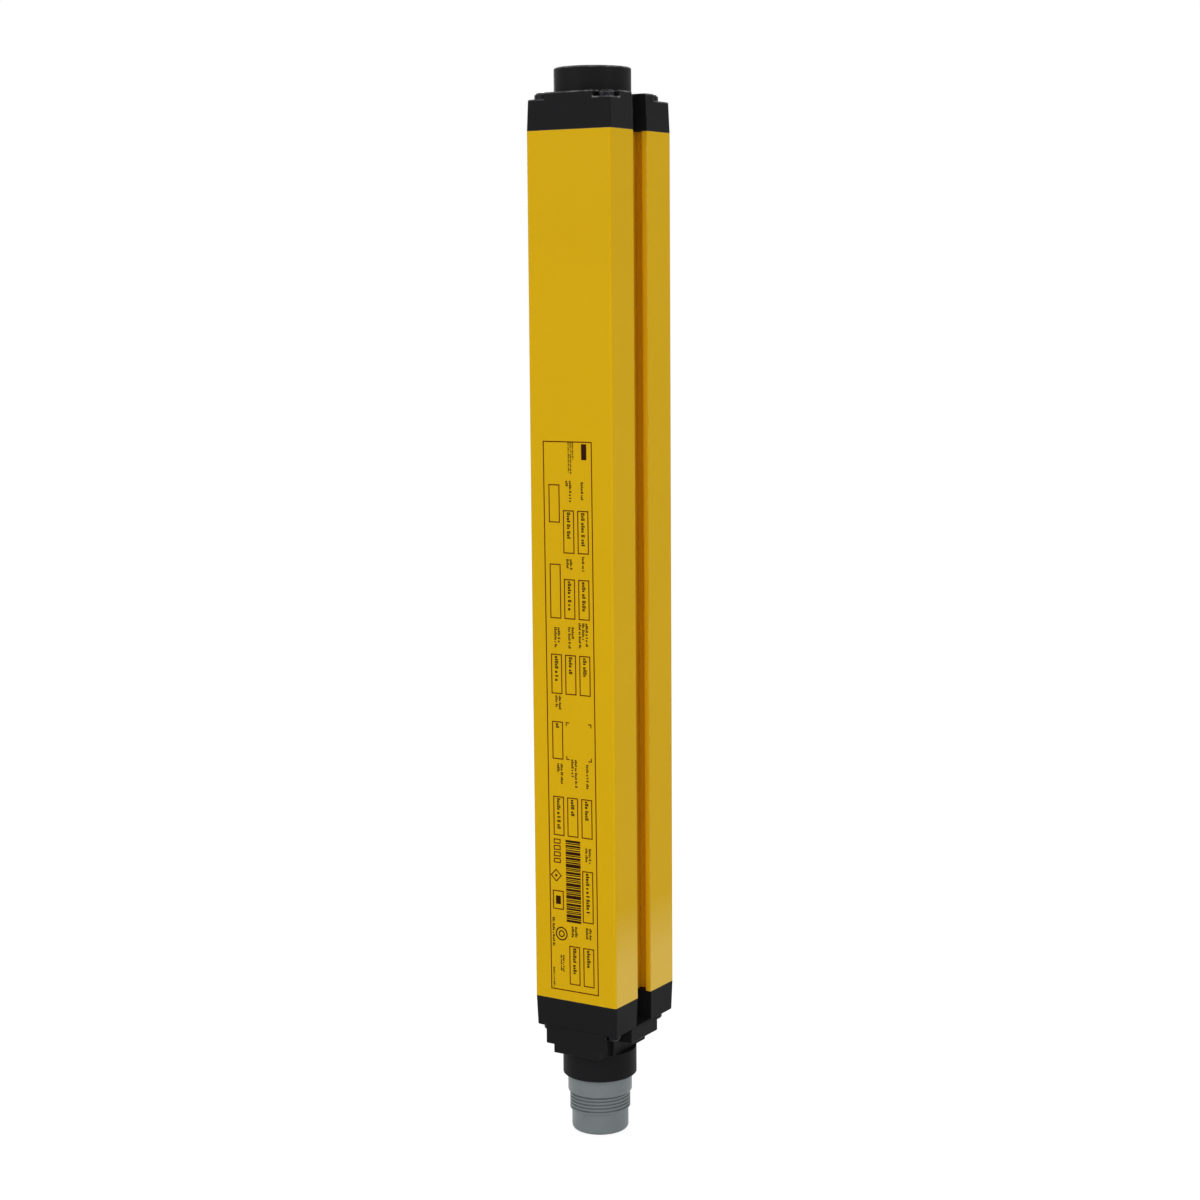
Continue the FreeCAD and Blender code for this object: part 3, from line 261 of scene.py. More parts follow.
VECTOR = ("Vector", "Vector")
GRAIN = Effect("grain", (VECTOR, ("Scale", "Float")), (("Height", "Float"),), fill_grain)
BLOTCH = Effect("blotch", (VECTOR, ("Scale", "Float")), (("Tone", "Float"),), fill_blotch)
EDGE_WEAR_AND_HIGHLIGHT = Effect(
    "edge_wear_and_highlight",
    (VECTOR, ("Radius", "Float"), ("Full Turn", "Float"), ("Lit Upper Edges Only", "Float")),
    (("Mask", "Float"), ("Normal", "Vector")),
    fill_worn_and_highlit_edges,
)
DUST = Effect("dust", (VECTOR,), (("Mask", "Float"),), fill_dust)
DUST_COLOUR: Colour = (0.42, 0.40, 0.37)


# ------------------------------------------------------------------ finishes
@dataclass(frozen=True)
class Finish:
    """A surface with grain, slow change of tone, softened edges and a little dust; the edges are lighter from
    wear, and on some finishes from a painted highlight.

    The methods that a patterned finish gives anew take the material's graph and the place on
    the object, and return a value or a socket.
    """

    name: str
    colour: Colour
    roughness: float = 0.5
    smoother: float = 0.03
    rougher: float = 0.04
    metallic: float = 0.0
    grain_size: float = 0.5 * MM
    grain_depth: float = 0.01 * MM
    tone_size: float = 25 * MM
    tone_change: float = 0.06
    edge_radius: float = 0.25 * MM
    worn_and_highlit_edge_colour: Colour = (0.5, 0.5, 0.5)
    edge_wear_and_highlight: float = 0.1
    dust: float = 0.03
    shine: float = 0.3
    refraction: float = 1.47
    # share of the down-facing edges that lose the edge colour, leaving a painted highlight on the upper edges
    highlight_upper_edges: float = 0.0
    full_turn: float = 0.80

    def base_colour(self, graph: Graph, coords: Socket) -> object:
        """Colour before tone, edge wear and painted edge highlight, and dust: a plain colour, or a socket
        where it is patterned.
        """
        return self.colour

    def metal_part(self, graph: Graph, coords: Socket) -> float | Socket:
        """How metallic each place is."""
        return self.metallic

    def edge_round(self, graph: Graph, coords: Socket) -> float | Socket:
        """Radius to which the edges are softened."""
        return self.edge_radius

    def set_uniform(self, shader: Node) -> None:
        """Sets what is the same all over on the shader's own sockets."""
        shader.inputs["IOR"].default_value = self.refraction
        shader.inputs["Specular IOR Level"].default_value = self.shine

    def fill_material(self, graph: Graph) -> None:
        """Lays tone, edge wear and painted edge highlight, dust and grain over the base colour in an empty
        tree.

        Args:
            graph: the material's tree.
        """
        coords = graph.node("TexCoord").outputs["Object"]
        tone = BLOTCH.place(graph, {"Vector": coords, "Scale": 1 / self.tone_size}).outputs["Tone"]
        radius = self.edge_round(graph, coords)
        edge_inputs = {"Vector": coords, "Radius": radius, "Full Turn": self.full_turn}
        edge = EDGE_WEAR_AND_HIGHLIGHT.place(graph, {**edge_inputs, "Lit Upper Edges Only": self.highlight_upper_edges})
        dust = graph.times(DUST.place(graph, {"Vector": coords}).outputs["Mask"], self.dust)
        grain = GRAIN.place(graph, {"Vector": coords, "Scale": 1 / self.grain_size}).outputs["Height"]
        colour = self.base_colour(graph, coords)
        toned = graph.mix(graph.times(tone, self.tone_change), colour, (0.0, 0.0, 0.0))
        # edge colour over the tone: wear, and on some finishes a painted highlight
        worn_and_highlit = graph.mix(graph.times(edge.outputs["Mask"], self.edge_wear_and_highlight), toned, self.worn_and_highlit_edge_colour)
        rough = graph.spread(tone, 0.0, 1.0, self.roughness - self.smoother, self.roughness + self.rougher)
        relief = {"Height": grain, "Distance": self.grain_depth, "Normal": edge.outputs["Normal"]}
        shader = graph.node("BsdfPrincipled", {
            "Base Color": graph.mix(dust, worn_and_highlit, DUST_COLOUR),
            "Roughness": graph.math("ADD", rough, dust),
            "Metallic": self.metal_part(graph, coords),
            "Normal": graph.node("Bump", relief).outputs[0],
        })
        self.set_uniform(shader)
        graph.node("OutputMaterial", {"Surface": shader.outputs[0]})

    def material(self) -> Material:
        """The finish as a material, built the first time that it is asked for.

        Returns:
            The material.
        """
        material = bpy.data.materials.get("finish_" + self.name)
        if material is None:
            material = bpy.data.materials.new("finish_" + self.name)
            material.use_nodes = True
            self.fill_material(Graph(material.node_tree))
        return material


@dataclass(frozen=True)
class Zone:
    """Part of the profile's section, alike on both sides: from the middle outwards, and along Y."""

    inner: float
    outer: float
    front: float
    rear: float

    def mask(self, graph: Graph, coords: Socket) -> Socket:
        """One inside the zone, zero elsewhere."""
        side = graph.between(graph.from_middle(coords), self.inner, self.outer)
        return graph.times(side, graph.between(graph.along(coords, "Y"), self.front, self.rear))


@dataclass(frozen=True)
class PaintedProfile(Finish):
    """Yellow paint outside and in the slots, bare aluminium in the cavity; painted shade in the slots and a
    painted floor reflection low on the sides.
    """

    bare: Colour = (0.60, 0.60, 0.61)
    # painted shade deep in the slots, and a painted highlight at their mouths
    slot_shade_colour: Colour = (0.76, 0.41, 0.002)
    lip_highlight_colour: Colour = (0.90, 0.52, 0.012)
    # painted reflection of the floor, paler low on the side faces
    floor_reflection_colour: Colour = (0.72, 0.475, 0.068)
    floor_reflection_low: float = 40 * MM
    floor_reflection_high: float = 66 * MM
    face_x: float = 19.95 * MM
    lip_x: float = 17.2 * MM
    lip_radius: float = 0.8 * MM
    cavity: Zone = Zone(*mm(-1, 17.85, -22.8, 17.05))
    slots: Zone = Zone(*mm(12.9, 100, -13.45, 5.45))
    lips: Zone = Zone(*mm(17.2, 100, -12.0, -9.2))

    def metal_part(self, graph: Graph, coords: Socket) -> Socket:
        """Metallic only where the aluminium is bare: in the cavity, but not in the two slots."""
        cavity = self.cavity.mask(graph, coords)
        return graph.times(cavity, graph.opposite(self.slots.mask(graph, coords)))

    def base_colour(self, graph: Graph, coords: Socket) -> Socket:
        """Paint, with painted shade deep in the slots and a painted highlight at their mouths, and a painted
        floor reflection low on the sides; bare metal in the cavity.

        Args:
            graph: the material's tree.
            coords: place on the object.

        Returns:
            The colour.
        """
        across = graph.from_middle(coords)
        outside = graph.above(across, self.face_x)
        # the side faces turn paler towards the lower end: a painted reflection of the floor
        low = graph.spread(graph.along(coords, "Z"), self.floor_reflection_low, self.floor_reflection_high, 1.0, 0.0)
        outer = graph.mix(graph.times(low, outside), self.colour, self.floor_reflection_colour)
        # in the slots the colour runs from painted shade at the deepest to a painted highlight at the mouth
        sunk = graph.spread(across, self.lip_x, self.face_x, 1.0, 0.0)
        inner = graph.mix(sunk, self.lip_highlight_colour, self.slot_shade_colour)
        in_slots = graph.times(graph.opposite(outside), self.slots.mask(graph, coords))
        return graph.mix(self.metal_part(graph, coords), graph.mix(in_slots, outer, inner), self.bare)

    def edge_round(self, graph: Graph, coords: Socket) -> Socket:
        """Small radius, but a larger one on the front lip of each slot."""
        lips = self.lips.mask(graph, coords)
        return graph.spread(lips, 0.0, 1.0, self.edge_radius, self.lip_radius)


@dataclass(frozen=True)
class ClearPlastic(Finish):
    """Clear or tinted plastic that light passes through."""

    refraction: float = 1.49

    def set_uniform(self, shader: Node) -> None:
        """Makes the shader transmit light."""
        super().set_uniform(shader)
        shader.inputs["Transmission Weight"].default_value = 1.0


@dataclass(frozen=True)
class CircuitBoard(Finish):
    """Green board with a fine net of copper tracks under the lacquer."""

    track: Colour = (0.03, 0.16, 0.05)
    track_pitch: float = 1.6 * MM
    track_half: float = 0.09

    def base_colour(self, graph: Graph, coords: Socket) -> Socket:
        """Lacquer with a net of lighter tracks."""
        inputs = {"Vector": coords, "Scale": 1 / self.track_pitch}
        edge = graph.node("TexVoronoi", inputs, feature="DISTANCE_TO_EDGE").outputs["Distance"]
        return graph.mix(graph.below(edge, self.track_half), self.colour, self.track)


@dataclass(frozen=True)
class TwoTone(Finish):
    """One colour in front of a given depth along Y and another behind it."""

    second: Colour = (0.6, 0.6, 0.6)
    limit_y: float = 0.0

    def base_colour(self, graph: Graph, coords: Socket) -> Socket:
        """Colour that changes at the limit."""
        return graph.mix(graph.above(graph.along(coords, "Y"), self.limit_y), self.colour, self.second)


@dataclass(frozen=True)
class LampRow(Finish):
    """Three lamps side by side, told apart by their place across the housing."""

    left: Colour = (0.5, 0.03, 0.02)
    right: Colour = (0.03, 0.35, 0.06)
    half_pitch: float = 2.5 * MM

    def base_colour(self, graph: Graph, coords: Socket) -> Socket:
        """Lens colour of each lamp."""
        across = graph.along(coords, "X")
        two = graph.mix(graph.below(across, -self.half_pitch), self.colour, self.left)
        return graph.mix(graph.above(across, self.half_pitch), two, self.right)


@dataclass(frozen=True)
class StripedFilm(Finish):
    """Polyimide film with conductors that run along it."""

    stripe: Colour = (0.50, 0.24, 0.07)
    pitch: float = 1.0 * MM
    film_share: float = 0.55
    shift: float = 1.0

    def base_colour(self, graph: Graph, coords: Socket) -> Socket:
        """Film with lighter stripes."""
        pitches = graph.math("DIVIDE", graph.math("ADD", graph.along(coords, "X"), self.shift), self.pitch)
        return graph.mix(graph.above(graph.math("FRACT", pitches), self.film_share), self.colour, self.stripe)


# The lighter edge colour along the rounded corners and the slot lips is a painted highlight.
YELLOW_PAINT = PaintedProfile(
    "yellow_paint", (0.648, 0.386, 0.002), roughness=0.42, grain_size=0.9 * MM, grain_depth=0.004 * MM,
    tone_size=60 * MM, tone_change=0.03, edge_radius=0.4 * MM, worn_and_highlit_edge_colour=(0.80, 0.55, 0.09),
    edge_wear_and_highlight=0.6, dust=0.008, shine=0.07, full_turn=0.955,
)
# The faintly lighter upper edges of the lower cap are a painted highlight of light from above.
BLACK_PLASTIC = Finish(
    "black_plastic", (0.0100, 0.0100, 0.0110), roughness=0.5, grain_size=0.35 * MM,
    grain_depth=0.012 * MM, tone_change=0.12, edge_radius=0.35 * MM, worn_and_highlit_edge_colour=(0.10, 0.10, 0.11),
    edge_wear_and_highlight=0.2, dust=0.006, shine=0.05, highlight_upper_edges=0.94,
)
# The bright thin lines along the upper cap's upper edges are a painted highlight of light from above.
HIGHLIT_BLACK_PLASTIC = replace(
    BLACK_PLASTIC, name="black_plastic_edge_highlights", edge_radius=0.8 * MM, worn_and_highlit_edge_colour=(0.90, 0.90, 0.92),
    edge_wear_and_highlight=1.0,
)
GREY_PLASTIC = Finish(
    "grey_plastic", (0.190, 0.214, 0.218), roughness=0.36, grain_size=0.6 * MM, grain_depth=0.006 * MM,
    tone_size=9 * MM, tone_change=0.08, edge_radius=0.2 * MM, worn_and_highlit_edge_colour=(0.34, 0.36, 0.36),
    edge_wear_and_highlight=0.35, dust=0.03, shine=0.14,
)
INSERT_PLASTIC = Finish(
    "insert_plastic", (0.020, 0.020, 0.021), roughness=0.55, worn_and_highlit_edge_colour=(0.12, 0.12, 0.12), edge_wear_and_highlight=0.3,
)
# The bright rims on top of the screw heads are a painted highlight of light from above.
DARK_STEEL = Finish(
    "dark_steel", (0.014, 0.014, 0.016), roughness=0.34, metallic=1.0, grain_size=0.3 * MM,
    grain_depth=0.004 * MM, edge_radius=0.2 * MM, worn_and_highlit_edge_colour=(0.92, 0.92, 0.92), edge_wear_and_highlight=1.0,
    dust=0.01, highlight_upper_edges=0.97,
)
BRIGHT_STEEL = Finish(
    "bright_steel", (0.62, 0.62, 0.60), roughness=0.28, metallic=1.0, grain_size=0.3 * MM,
    grain_depth=0.003 * MM, edge_radius=0.1 * MM, worn_and_highlit_edge_colour=(0.8, 0.8, 0.8), edge_wear_and_highlight=0.3,
)
BRASS = Finish(
    "brass", (0.66, 0.47, 0.18), roughness=0.30, metallic=1.0, grain_depth=0.003 * MM,
    edge_radius=0.1 * MM, worn_and_highlit_edge_colour=(0.85, 0.68, 0.35), edge_wear_and_highlight=0.3,
)
GOLD_PLATE = Finish(
    "gold_plate", (0.86, 0.62, 0.25), roughness=0.22, metallic=1.0, grain_depth=0.002 * MM,
    edge_radius=0.1 * MM, worn_and_highlit_edge_colour=(0.95, 0.78, 0.42), edge_wear_and_highlight=0.2, dust=0.0,
)
RUBBER = Finish(
    "rubber", (0.018, 0.018, 0.018), roughness=0.78, grain_size=0.25 * MM, grain_depth=0.02 * MM,
    edge_radius=0.15 * MM, worn_and_highlit_edge_colour=(0.06, 0.06, 0.06), edge_wear_and_highlight=0.2,
)
MATT_BLACK = Finish("matt_black", (0.012, 0.012, 0.013), roughness=0.82, edge_wear_and_highlight=0.05)
NYLON = Finish("nylon", (0.70, 0.69, 0.64), roughness=0.5, edge_wear_and_highlight=0.0)
TINTED_WINDOW = ClearPlastic(
    "tinted_window", (0.66, 0.030, 0.020), roughness=0.05, grain_depth=0.0005 * MM, tone_change=0.04,
    edge_radius=0.2 * MM, worn_and_highlit_edge_colour=(0.66, 0.030, 0.020), edge_wear_and_highlight=0.0, dust=0.004, shine=0.10,
)
CLEAR_LENS = ClearPlastic(
    "clear_lens", (0.93, 0.93, 0.93), roughness=0.05, grain_depth=0.0005 * MM, tone_change=0.01,
    edge_radius=0.1 * MM, edge_wear_and_highlight=0.0, dust=0.0, shine=0.14,
)
EMITTER_RESIN = Finish("emitter_resin", (0.10, 0.09, 0.22), roughness=0.18, edge_wear_and_highlight=0.0)
BOARD = CircuitBoard("circuit_board", (0.010, 0.085, 0.030), roughness=0.35, grain_depth=0.004 * MM)
CHIP_RESIN = Finish("chip_resin", (0.022, 0.022, 0.023), roughness=0.62)
CAPACITOR = TwoTone(
    "capacitor", (0.02, 0.03, 0.06), roughness=0.4, second=(0.66, 0.66, 0.67), limit_y=15.5 * MM,
)
DISPLAY_FACE = TwoTone(
    "display_face", (0.03, 0.03, 0.032), roughness=0.55, second=(0.62, 0.60, 0.56), limit_y=-23.75 * MM,
)
LAMPS = LampRow("lamps", (0.55, 0.30, 0.02), roughness=0.2, edge_wear_and_highlight=0.0)
FILM = StripedFilm("film", (0.28, 0.11, 0.02), roughness=0.3, grain_depth=0.002 * MM, edge_wear_and_highlight=0.0)
PRINT_INK = Finish(
    "print_ink", (0.032, 0.009, 0.003), roughness=0.6, grain_size=0.4 * MM, grain_depth=0.004 * MM,
    tone_size=4 * MM, tone_change=0.25, edge_radius=0.02 * MM, edge_wear_and_highlight=0.0, dust=0.0, shine=0.04,
)
LINE_INK = replace(PRINT_INK, name="line_ink", colour=(0.115, 0.013, 0.001))

SOLID_FINISHES: tuple[tuple[Finish, tuple[str, ...]], ...] = (
    (YELLOW_PAINT, ("housing_profile",)),
    (TINTED_WINDOW, ("front_window",)),
    (RUBBER, ("window_seals", "lower_cap_gasket", "upper_cap_gasket", "connector_seal_ring", "end_buffer")),
    (BLACK_PLASTIC, ("lower_end_cap",)),
    (HIGHLIT_BLACK_PLASTIC, ("upper_end_cap",)),
    (DARK_STEEL, ("lower_cap_screws", "upper_cap_screws")),
    (GREY_PLASTIC, ("connector_shell",)),
    (INSERT_PLASTIC, ("connector_insert",)),
    (GOLD_PLATE, ("connector_pins",)),
    (MATT_BLACK, ("optics_carrier_lower", "optics_carrier_upper")),
    (CLEAR_LENS, ("lens_plate_lower", "lens_plate_upper")),
    (EMITTER_RESIN, ("emitters_lower", "emitters_upper")),
    (BOARD, (
        "connector_board", "emitter_board_lower", "emitter_board_upper", "control_board", "display_board",
    )),
    (BRASS, ("board_spacers",)),
    (BRIGHT_STEEL, ("module_screws", "earth_spring")),
    (CHIP_RESIN, ("control_chips",)),
    (CAPACITOR, ("power_capacitors",)),
    (DISPLAY_FACE, ("digit_display",)),
    (LAMPS, ("status_lamps",)),
    (NYLON, ("display_posts",)),
    (FILM, ("flex_circuit",)),
)


# ------------------------------------------------------------------ bench helpers
def deselect_all() -> None:
    """Leaves nothing selected and no object in edit mode."""
    if bpy.context.object is not None and bpy.context.object.mode != "OBJECT":
        bpy.ops.object.mode_set(mode="OBJECT")
    bpy.ops.object.select_all(action="DESELECT")


def pick(pieces: Sequence[Piece]) -> None:
    """Selects some objects and no others, and makes the first one active.

    Args:
        pieces: the objects.
    """
    deselect_all()
    for piece in pieces:
        piece.select_set(True)
    bpy.context.view_layer.objects.active = pieces[0]


def name_piece(name: str) -> Piece:
    """Names the active object and its mesh.

    Args:
        name: the new name.

    Returns:
        The object.
    """
    piece = bpy.context.object
    piece.name = name
    piece.data.name = name
    return piece


def apply_modifier(piece: Piece, kind: str, **settings: object) -> None:
    """Adds one modifier and applies it.

    Args:
        piece: the object to work on.
        kind: the modifier's type.
        **settings: the modifier's own properties.
    """
    pick([piece])
    modifier = piece.modifiers.new(kind.lower(), kind)
    for name, value in settings.items():
        setattr(modifier, name, value)
    bpy.ops.object.modifier_apply(modifier=modifier.name)


def select_edges(piece: Piece, wanted: Callable[[bmesh.types.BMEdge], bool]) -> None:
    """Selects the edges that pass a test.

    Args:
        piece: the object, in edit mode.
        wanted: the test.
    """
    mesh = bmesh.from_edit_mesh(piece.data)
    bpy.ops.mesh.select_all(action="DESELECT")
    for edge in mesh.edges:
        if wanted(edge):
            edge.select_set(True)
    mesh.select_flush_mode()
    bmesh.update_edit_mesh(piece.data)


def place_in_mesh(piece: Piece) -> None:
    """Moves the object's place and turn into its mesh."""
    pick([piece])
    bpy.ops.object.transform_apply(location=True, rotation=True, scale=True)


def face_outwards(piece: Piece) -> None:
    """Points the faces of a closed piece outwards, also where it is a hollow ring.

    Args:
        piece: the object, in edit mode.
    """
    bpy.ops.mesh.select_all(action="SELECT")
    bpy.ops.mesh.normals_make_consistent(inside=False)
    if bmesh.from_edit_mesh(piece.data).calc_volume(signed=True) < 0:
        bpy.ops.mesh.flip_normals()


def join(pieces: Sequence[Piece], name: str) -> Piece:
    """Joins objects into the first one.

    Args:
        pieces: the objects.
        name: the name of the joined piece.

    Returns:
        The joined piece.
    """
    pick(pieces)
    bpy.ops.object.join()
    return name_piece(name)


def copied(piece: Piece, move: Place) -> Piece:
    """Copies a piece with its own mesh, and moves the copy in its mesh.

    Args:
        piece: the object to copy.
        move: how far the copy goes.

    Returns:
        The copy.
    """
    pick([piece])
    bpy.ops.object.duplicate(linked=False)
    bpy.ops.object.mode_set(mode="EDIT")
    bpy.ops.mesh.select_all(action="SELECT")
    bpy.ops.transform.translate(value=move)
    bpy.ops.object.mode_set(mode="OBJECT")
    return bpy.context.object


def dress(piece: Piece, finish: Finish) -> Piece:
    """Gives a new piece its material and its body.

    Args:
        piece: the object.
        finish: its finish.

    Returns:
        The same object.
    """
    piece.data.materials.clear()
    piece.data.materials.append(finish.material())
    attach(piece, BODY)
    log.info("piece %s: %d faces", piece.name, len(piece.data.polygons))
    return piece


# ------------------------------------------------------------------ round connector
@dataclass
class RoundConnector:
    """Grey connector body with its coupling thread, and the contacts inside it."""

    sides: int = 96
    smooth_angle: float = math.radians(28)
    stem_radius: float = 11.1 * MM
    spigot_end: float = -11.6 * MM
    flange_radius: float = 13.75 * MM
    flange_end: float = -19.4 * MM
    flange_edge: float = 0.5 * MM
    edge_cut: float = 0.3
    root_radius: float = 12.2 * MM
    thread_radius: float = 13.0 * MM
    thread_end: float = -27.6 * MM
    thread_step: float = 0.1 * MM
    nose_radius: float = 12.15 * MM
    nose_round: float = 1.7 * MM
    nose_round_steps: int = 6
    mouth_edge: float = 0.4 * MM
    socket_bore: float = 10.3 * MM
    shoulder_bore: float = 9.0 * MM
    insert_recess: float = 2.0 * MM
    weld: float = 0.001 * MM
    thread_pitch: float = 1.5 * MM
    thread_to_flange: float = 0.2 * MM
    crest_width: float = 0.62 * MM
    ridge_width: float = 1.12 * MM
    ridge_seat: float = 0.15 * MM
    faded_turn: float = 1 / 12
    fade_depth: float = 0.1 * MM
    key_width: float = 2.4 * MM
    key_height: float = 1.0 * MM
    key_seat: float = 0.5 * MM
    key_from_mouth: float = 1.2 * MM
    key_edge: float = 0.25 * MM
    pin_count: int = 11
    pin_sides: int = 24
    pin_circle: float = 7.2 * MM
    pin_radius: float = 0.75 * MM
    earth_pin_radius: float = 1.25 * MM
    pin_round: float = 0.6
    pin_smooth_angle: float = math.radians(40)
    top: float = field(init=False)
    mouth: float = field(init=False)
    insert_front: float = field(init=False)
    insert_back: float = field(init=False)

    def __post_init__(self) -> None:
        """Reads the heights from the solids."""
        low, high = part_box("connector_shell")
        insert_low, insert_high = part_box("connector_insert")
        self.top, self.mouth = high.z, low.z
        self.insert_front = insert_low.z + self.insert_recess
        self.insert_back = insert_high.z

    def nose_points(self) -> list[tuple[float, float]]:
        """Rounded outer edge of the nose.

        Returns:
            Its points as (radius, height).
        """
        points = []
        for step in range(self.nose_round_steps + 1):
            angle = math.radians(90 * step / self.nose_round_steps)
            radius = self.nose_radius - self.nose_round * (1 - math.cos(angle))
            points.append((radius, self.mouth + self.nose_round * (1 - math.sin(angle))))
        return points

    def profile(self) -> list[tuple[float, float]]:
        """Closed half section of the body.

        Returns:
            Its points as (radius, height), the first one again at the end.
        """
        edge = self.flange_edge
        cut = self.edge_cut * edge
        points = [
            (self.stem_radius, self.top),
            (self.stem_radius, self.spigot_end),
            (self.flange_radius, self.spigot_end),
            (self.flange_radius, self.flange_end + edge),
            (self.flange_radius - cut, self.flange_end + cut),
            (self.flange_radius - edge, self.flange_end),
            (self.root_radius, self.flange_end),
            (self.root_radius, self.thread_end),
            (self.nose_radius, self.thread_end - self.thread_step),
            *self.nose_points(),
            (self.socket_bore + self.mouth_edge, self.mouth),
            (self.socket_bore, self.mouth + self.mouth_edge),
            (self.socket_bore, self.insert_back),
            (self.shoulder_bore, self.insert_back),
            (self.shoulder_bore, self.top),
        ]
        return points + points[:1]

    def body(self) -> Piece:
        """Draws the body out ring by ring from a circle.

        Returns:
            The body.
        """
        (radius, height), *others = self.profile()
        deselect_all()
        bpy.ops.mesh.primitive_circle_add(
            vertices=self.sides, radius=radius, location=(0, 0, height), fill_type="NOTHING",
            enter_editmode=True,
        )
        for next_radius, next_height in others:
            move = {"value": (0, 0, next_height - height)}
            bpy.ops.mesh.extrude_region_move(TRANSFORM_OT_translate=move)
            factor = next_radius / radius
            bpy.ops.transform.resize(value=(factor, factor, 1), center_override=(0, 0, next_height))
            radius, height = next_radius, next_height
        bpy.ops.mesh.select_all(action="SELECT")
        bpy.ops.mesh.remove_doubles(threshold=self.weld)
        face_outwards(bpy.context.object)
        bpy.ops.object.mode_set(mode="OBJECT")
        place_in_mesh(bpy.context.object)
        bpy.ops.object.shade_smooth_by_angle(angle=self.smooth_angle)
        return bpy.context.object

    def ridge_section(self) -> Piece:
        """Closed outline of the thread ridge, wide at the root and narrow at the crest.

        Returns:
            The outline, at the lower end of the thread.
        """
        inner = self.root_radius - self.ridge_seat
        middle = ((inner + self.thread_radius) / 2, 0, self.thread_end + self.ridge_width / 2)
        deselect_all()
        bpy.ops.mesh.primitive_plane_add(
            size=1, location=middle, rotation=(math.radians(90), 0, 0), enter_editmode=True
        )
        section = bpy.context.object
        size = (self.thread_radius - inner, 1, self.ridge_width)
        bpy.ops.transform.resize(value=size, center_override=middle)
        select_edges(section, lambda edge: all(vertex.co.x > 0 for vertex in edge.verts))
        crest = self.crest_width / self.ridge_width
        bpy.ops.transform.resize(value=(1, 1, crest), center_override=middle)
        bpy.ops.mesh.select_all(action="SELECT")
        bpy.ops.mesh.delete(type="ONLY_FACE")
        place_in_mesh(section)
        return section

    def thread(self) -> Piece:
        """Right-hand coupling thread: the ridge carried round the root in a helix.

        Returns:
            The thread.
        """
        ridge = self.ridge_section()
        rise = self.flange_end - self.thread_end - self.ridge_width / 2 - self.thread_to_flange
        turns = rise / self.thread_pitch
        steps = round(turns * self.sides)
        apply_modifier(
            ridge, "SCREW", axis="Z", angle=math.tau * turns, screw_offset=rise, steps=steps,
            render_steps=steps, use_normal_calculate=True, use_smooth_shade=True,
        )
        bpy.ops.object.mode_set(mode="EDIT")
        bpy.ops.mesh.select_all(action="SELECT")
        bpy.ops.mesh.fill_holes(sides=4)
        face_outwards(ridge)
        self.fade_end(ridge)
        bpy.ops.object.mode_set(mode="OBJECT")
        bpy.ops.object.shade_smooth_by_angle(angle=self.smooth_angle)
        return name_piece("connector_thread")

    def fade_end(self, ridge: Piece) -> None:
        """Lowers the first sections of the ridge towards the root, where the thread runs out.

        Args:
            ridge: the thread, in edit mode.
        """
        mesh = bmesh.from_edit_mesh(ridge.data)
        mesh.verts.ensure_lookup_table()
        sunk = self.root_radius - self.fade_depth
        fading = round(self.sides * self.faded_turn)
        corners = 4
        for place, vertex in enumerate(mesh.verts[:corners * fading]):
            radius = math.hypot(vertex.co.x, vertex.co.y)
            if radius > sunk:
                share = sunk / radius + (1 - sunk / radius) * (place // corners) / fading
                vertex.co.x *= share
                vertex.co.y *= share
        bmesh.update_edit_mesh(ridge.data)

    def key(self) -> Piece:
        """Coding rib on the wall of the socket.

        Returns:
            The rib.
        """
        low, high = self.mouth + self.key_from_mouth, self.insert_front
        depth = self.key_height + self.key_seat
        inner = self.socket_bore - self.key_height
        deselect_all()
        bpy.ops.mesh.primitive_cube_add(size=1, location=(0, inner + depth / 2, (low + high) / 2))
        key = bpy.context.object
        key.dimensions = (self.key_width, depth, high - low)
        place_in_mesh(key)
        apply_modifier(key, "BEVEL", width=self.key_edge, segments=3, limit_method="ANGLE")
        return key

    def pin(self, radius: float) -> Piece:
        """Contact pin on the axis, with a rounded free end.

        Args:
            radius: radius of the pin.

        Returns:
            The pin.
        """
        low, high = (corner.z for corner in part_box("connector_pins"))
        deselect_all()
        bpy.ops.mesh.primitive_cylinder_add(
            vertices=self.pin_sides, radius=radius, depth=high - low, location=(0, 0, (low + high) / 2),
            enter_editmode=True,
        )
        pin = bpy.context.object
        select_edges(pin, lambda edge: all(vertex.co.z < 0 for vertex in edge.verts))
        bpy.ops.mesh.bevel(offset=self.pin_round * radius, segments=4, affect="EDGES")
        place_in_mesh(pin)
        bpy.ops.object.shade_smooth_by_angle(angle=self.pin_smooth_angle)
        return pin

    def contacts(self) -> Piece:
        """The ring of contact pins and the thicker pin in the middle.

        Returns:
            All pins as one piece.
        """
        model = self.pin(self.pin_radius)
        pins = [self.pin(self.earth_pin_radius)]
        for step in range(self.pin_count):
            angle = math.radians(360 * step / self.pin_count + 90)
            place = (self.pin_circle * math.cos(angle), self.pin_circle * math.sin(angle), 0.0)
            pins.append(copied(model, place))
        bpy.data.objects.remove(model)
        return join(pins, "connector_contacts")

    def build(self) -> None:
        """Models and dresses the connector."""
        shell = join([self.body(), self.key()], "connector_body")
        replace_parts(dress(shell, GREY_PLASTIC), "connector_shell")
        dress(self.thread(), GREY_PLASTIC)
        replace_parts(dress(self.contacts(), GOLD_PLATE), "connector_pins")


# ------------------------------------------------------------------ print on the rear face
class Column(Enum):
    """The three columns of fields, by their two sides from the middle of the print."""

    LEFT = mm(4.05, 9.40)
    MIDDLE = mm(-2.85, 2.50)
    RIGHT = mm(-9.80, -4.45)


class Mark(Enum):
    """Plain shapes that stand for wording; each value is its length to its height."""

    STROKE = 0.38
    SHORT = 0.39
    BOX = 0.62
    LOW_BOX = 0.60


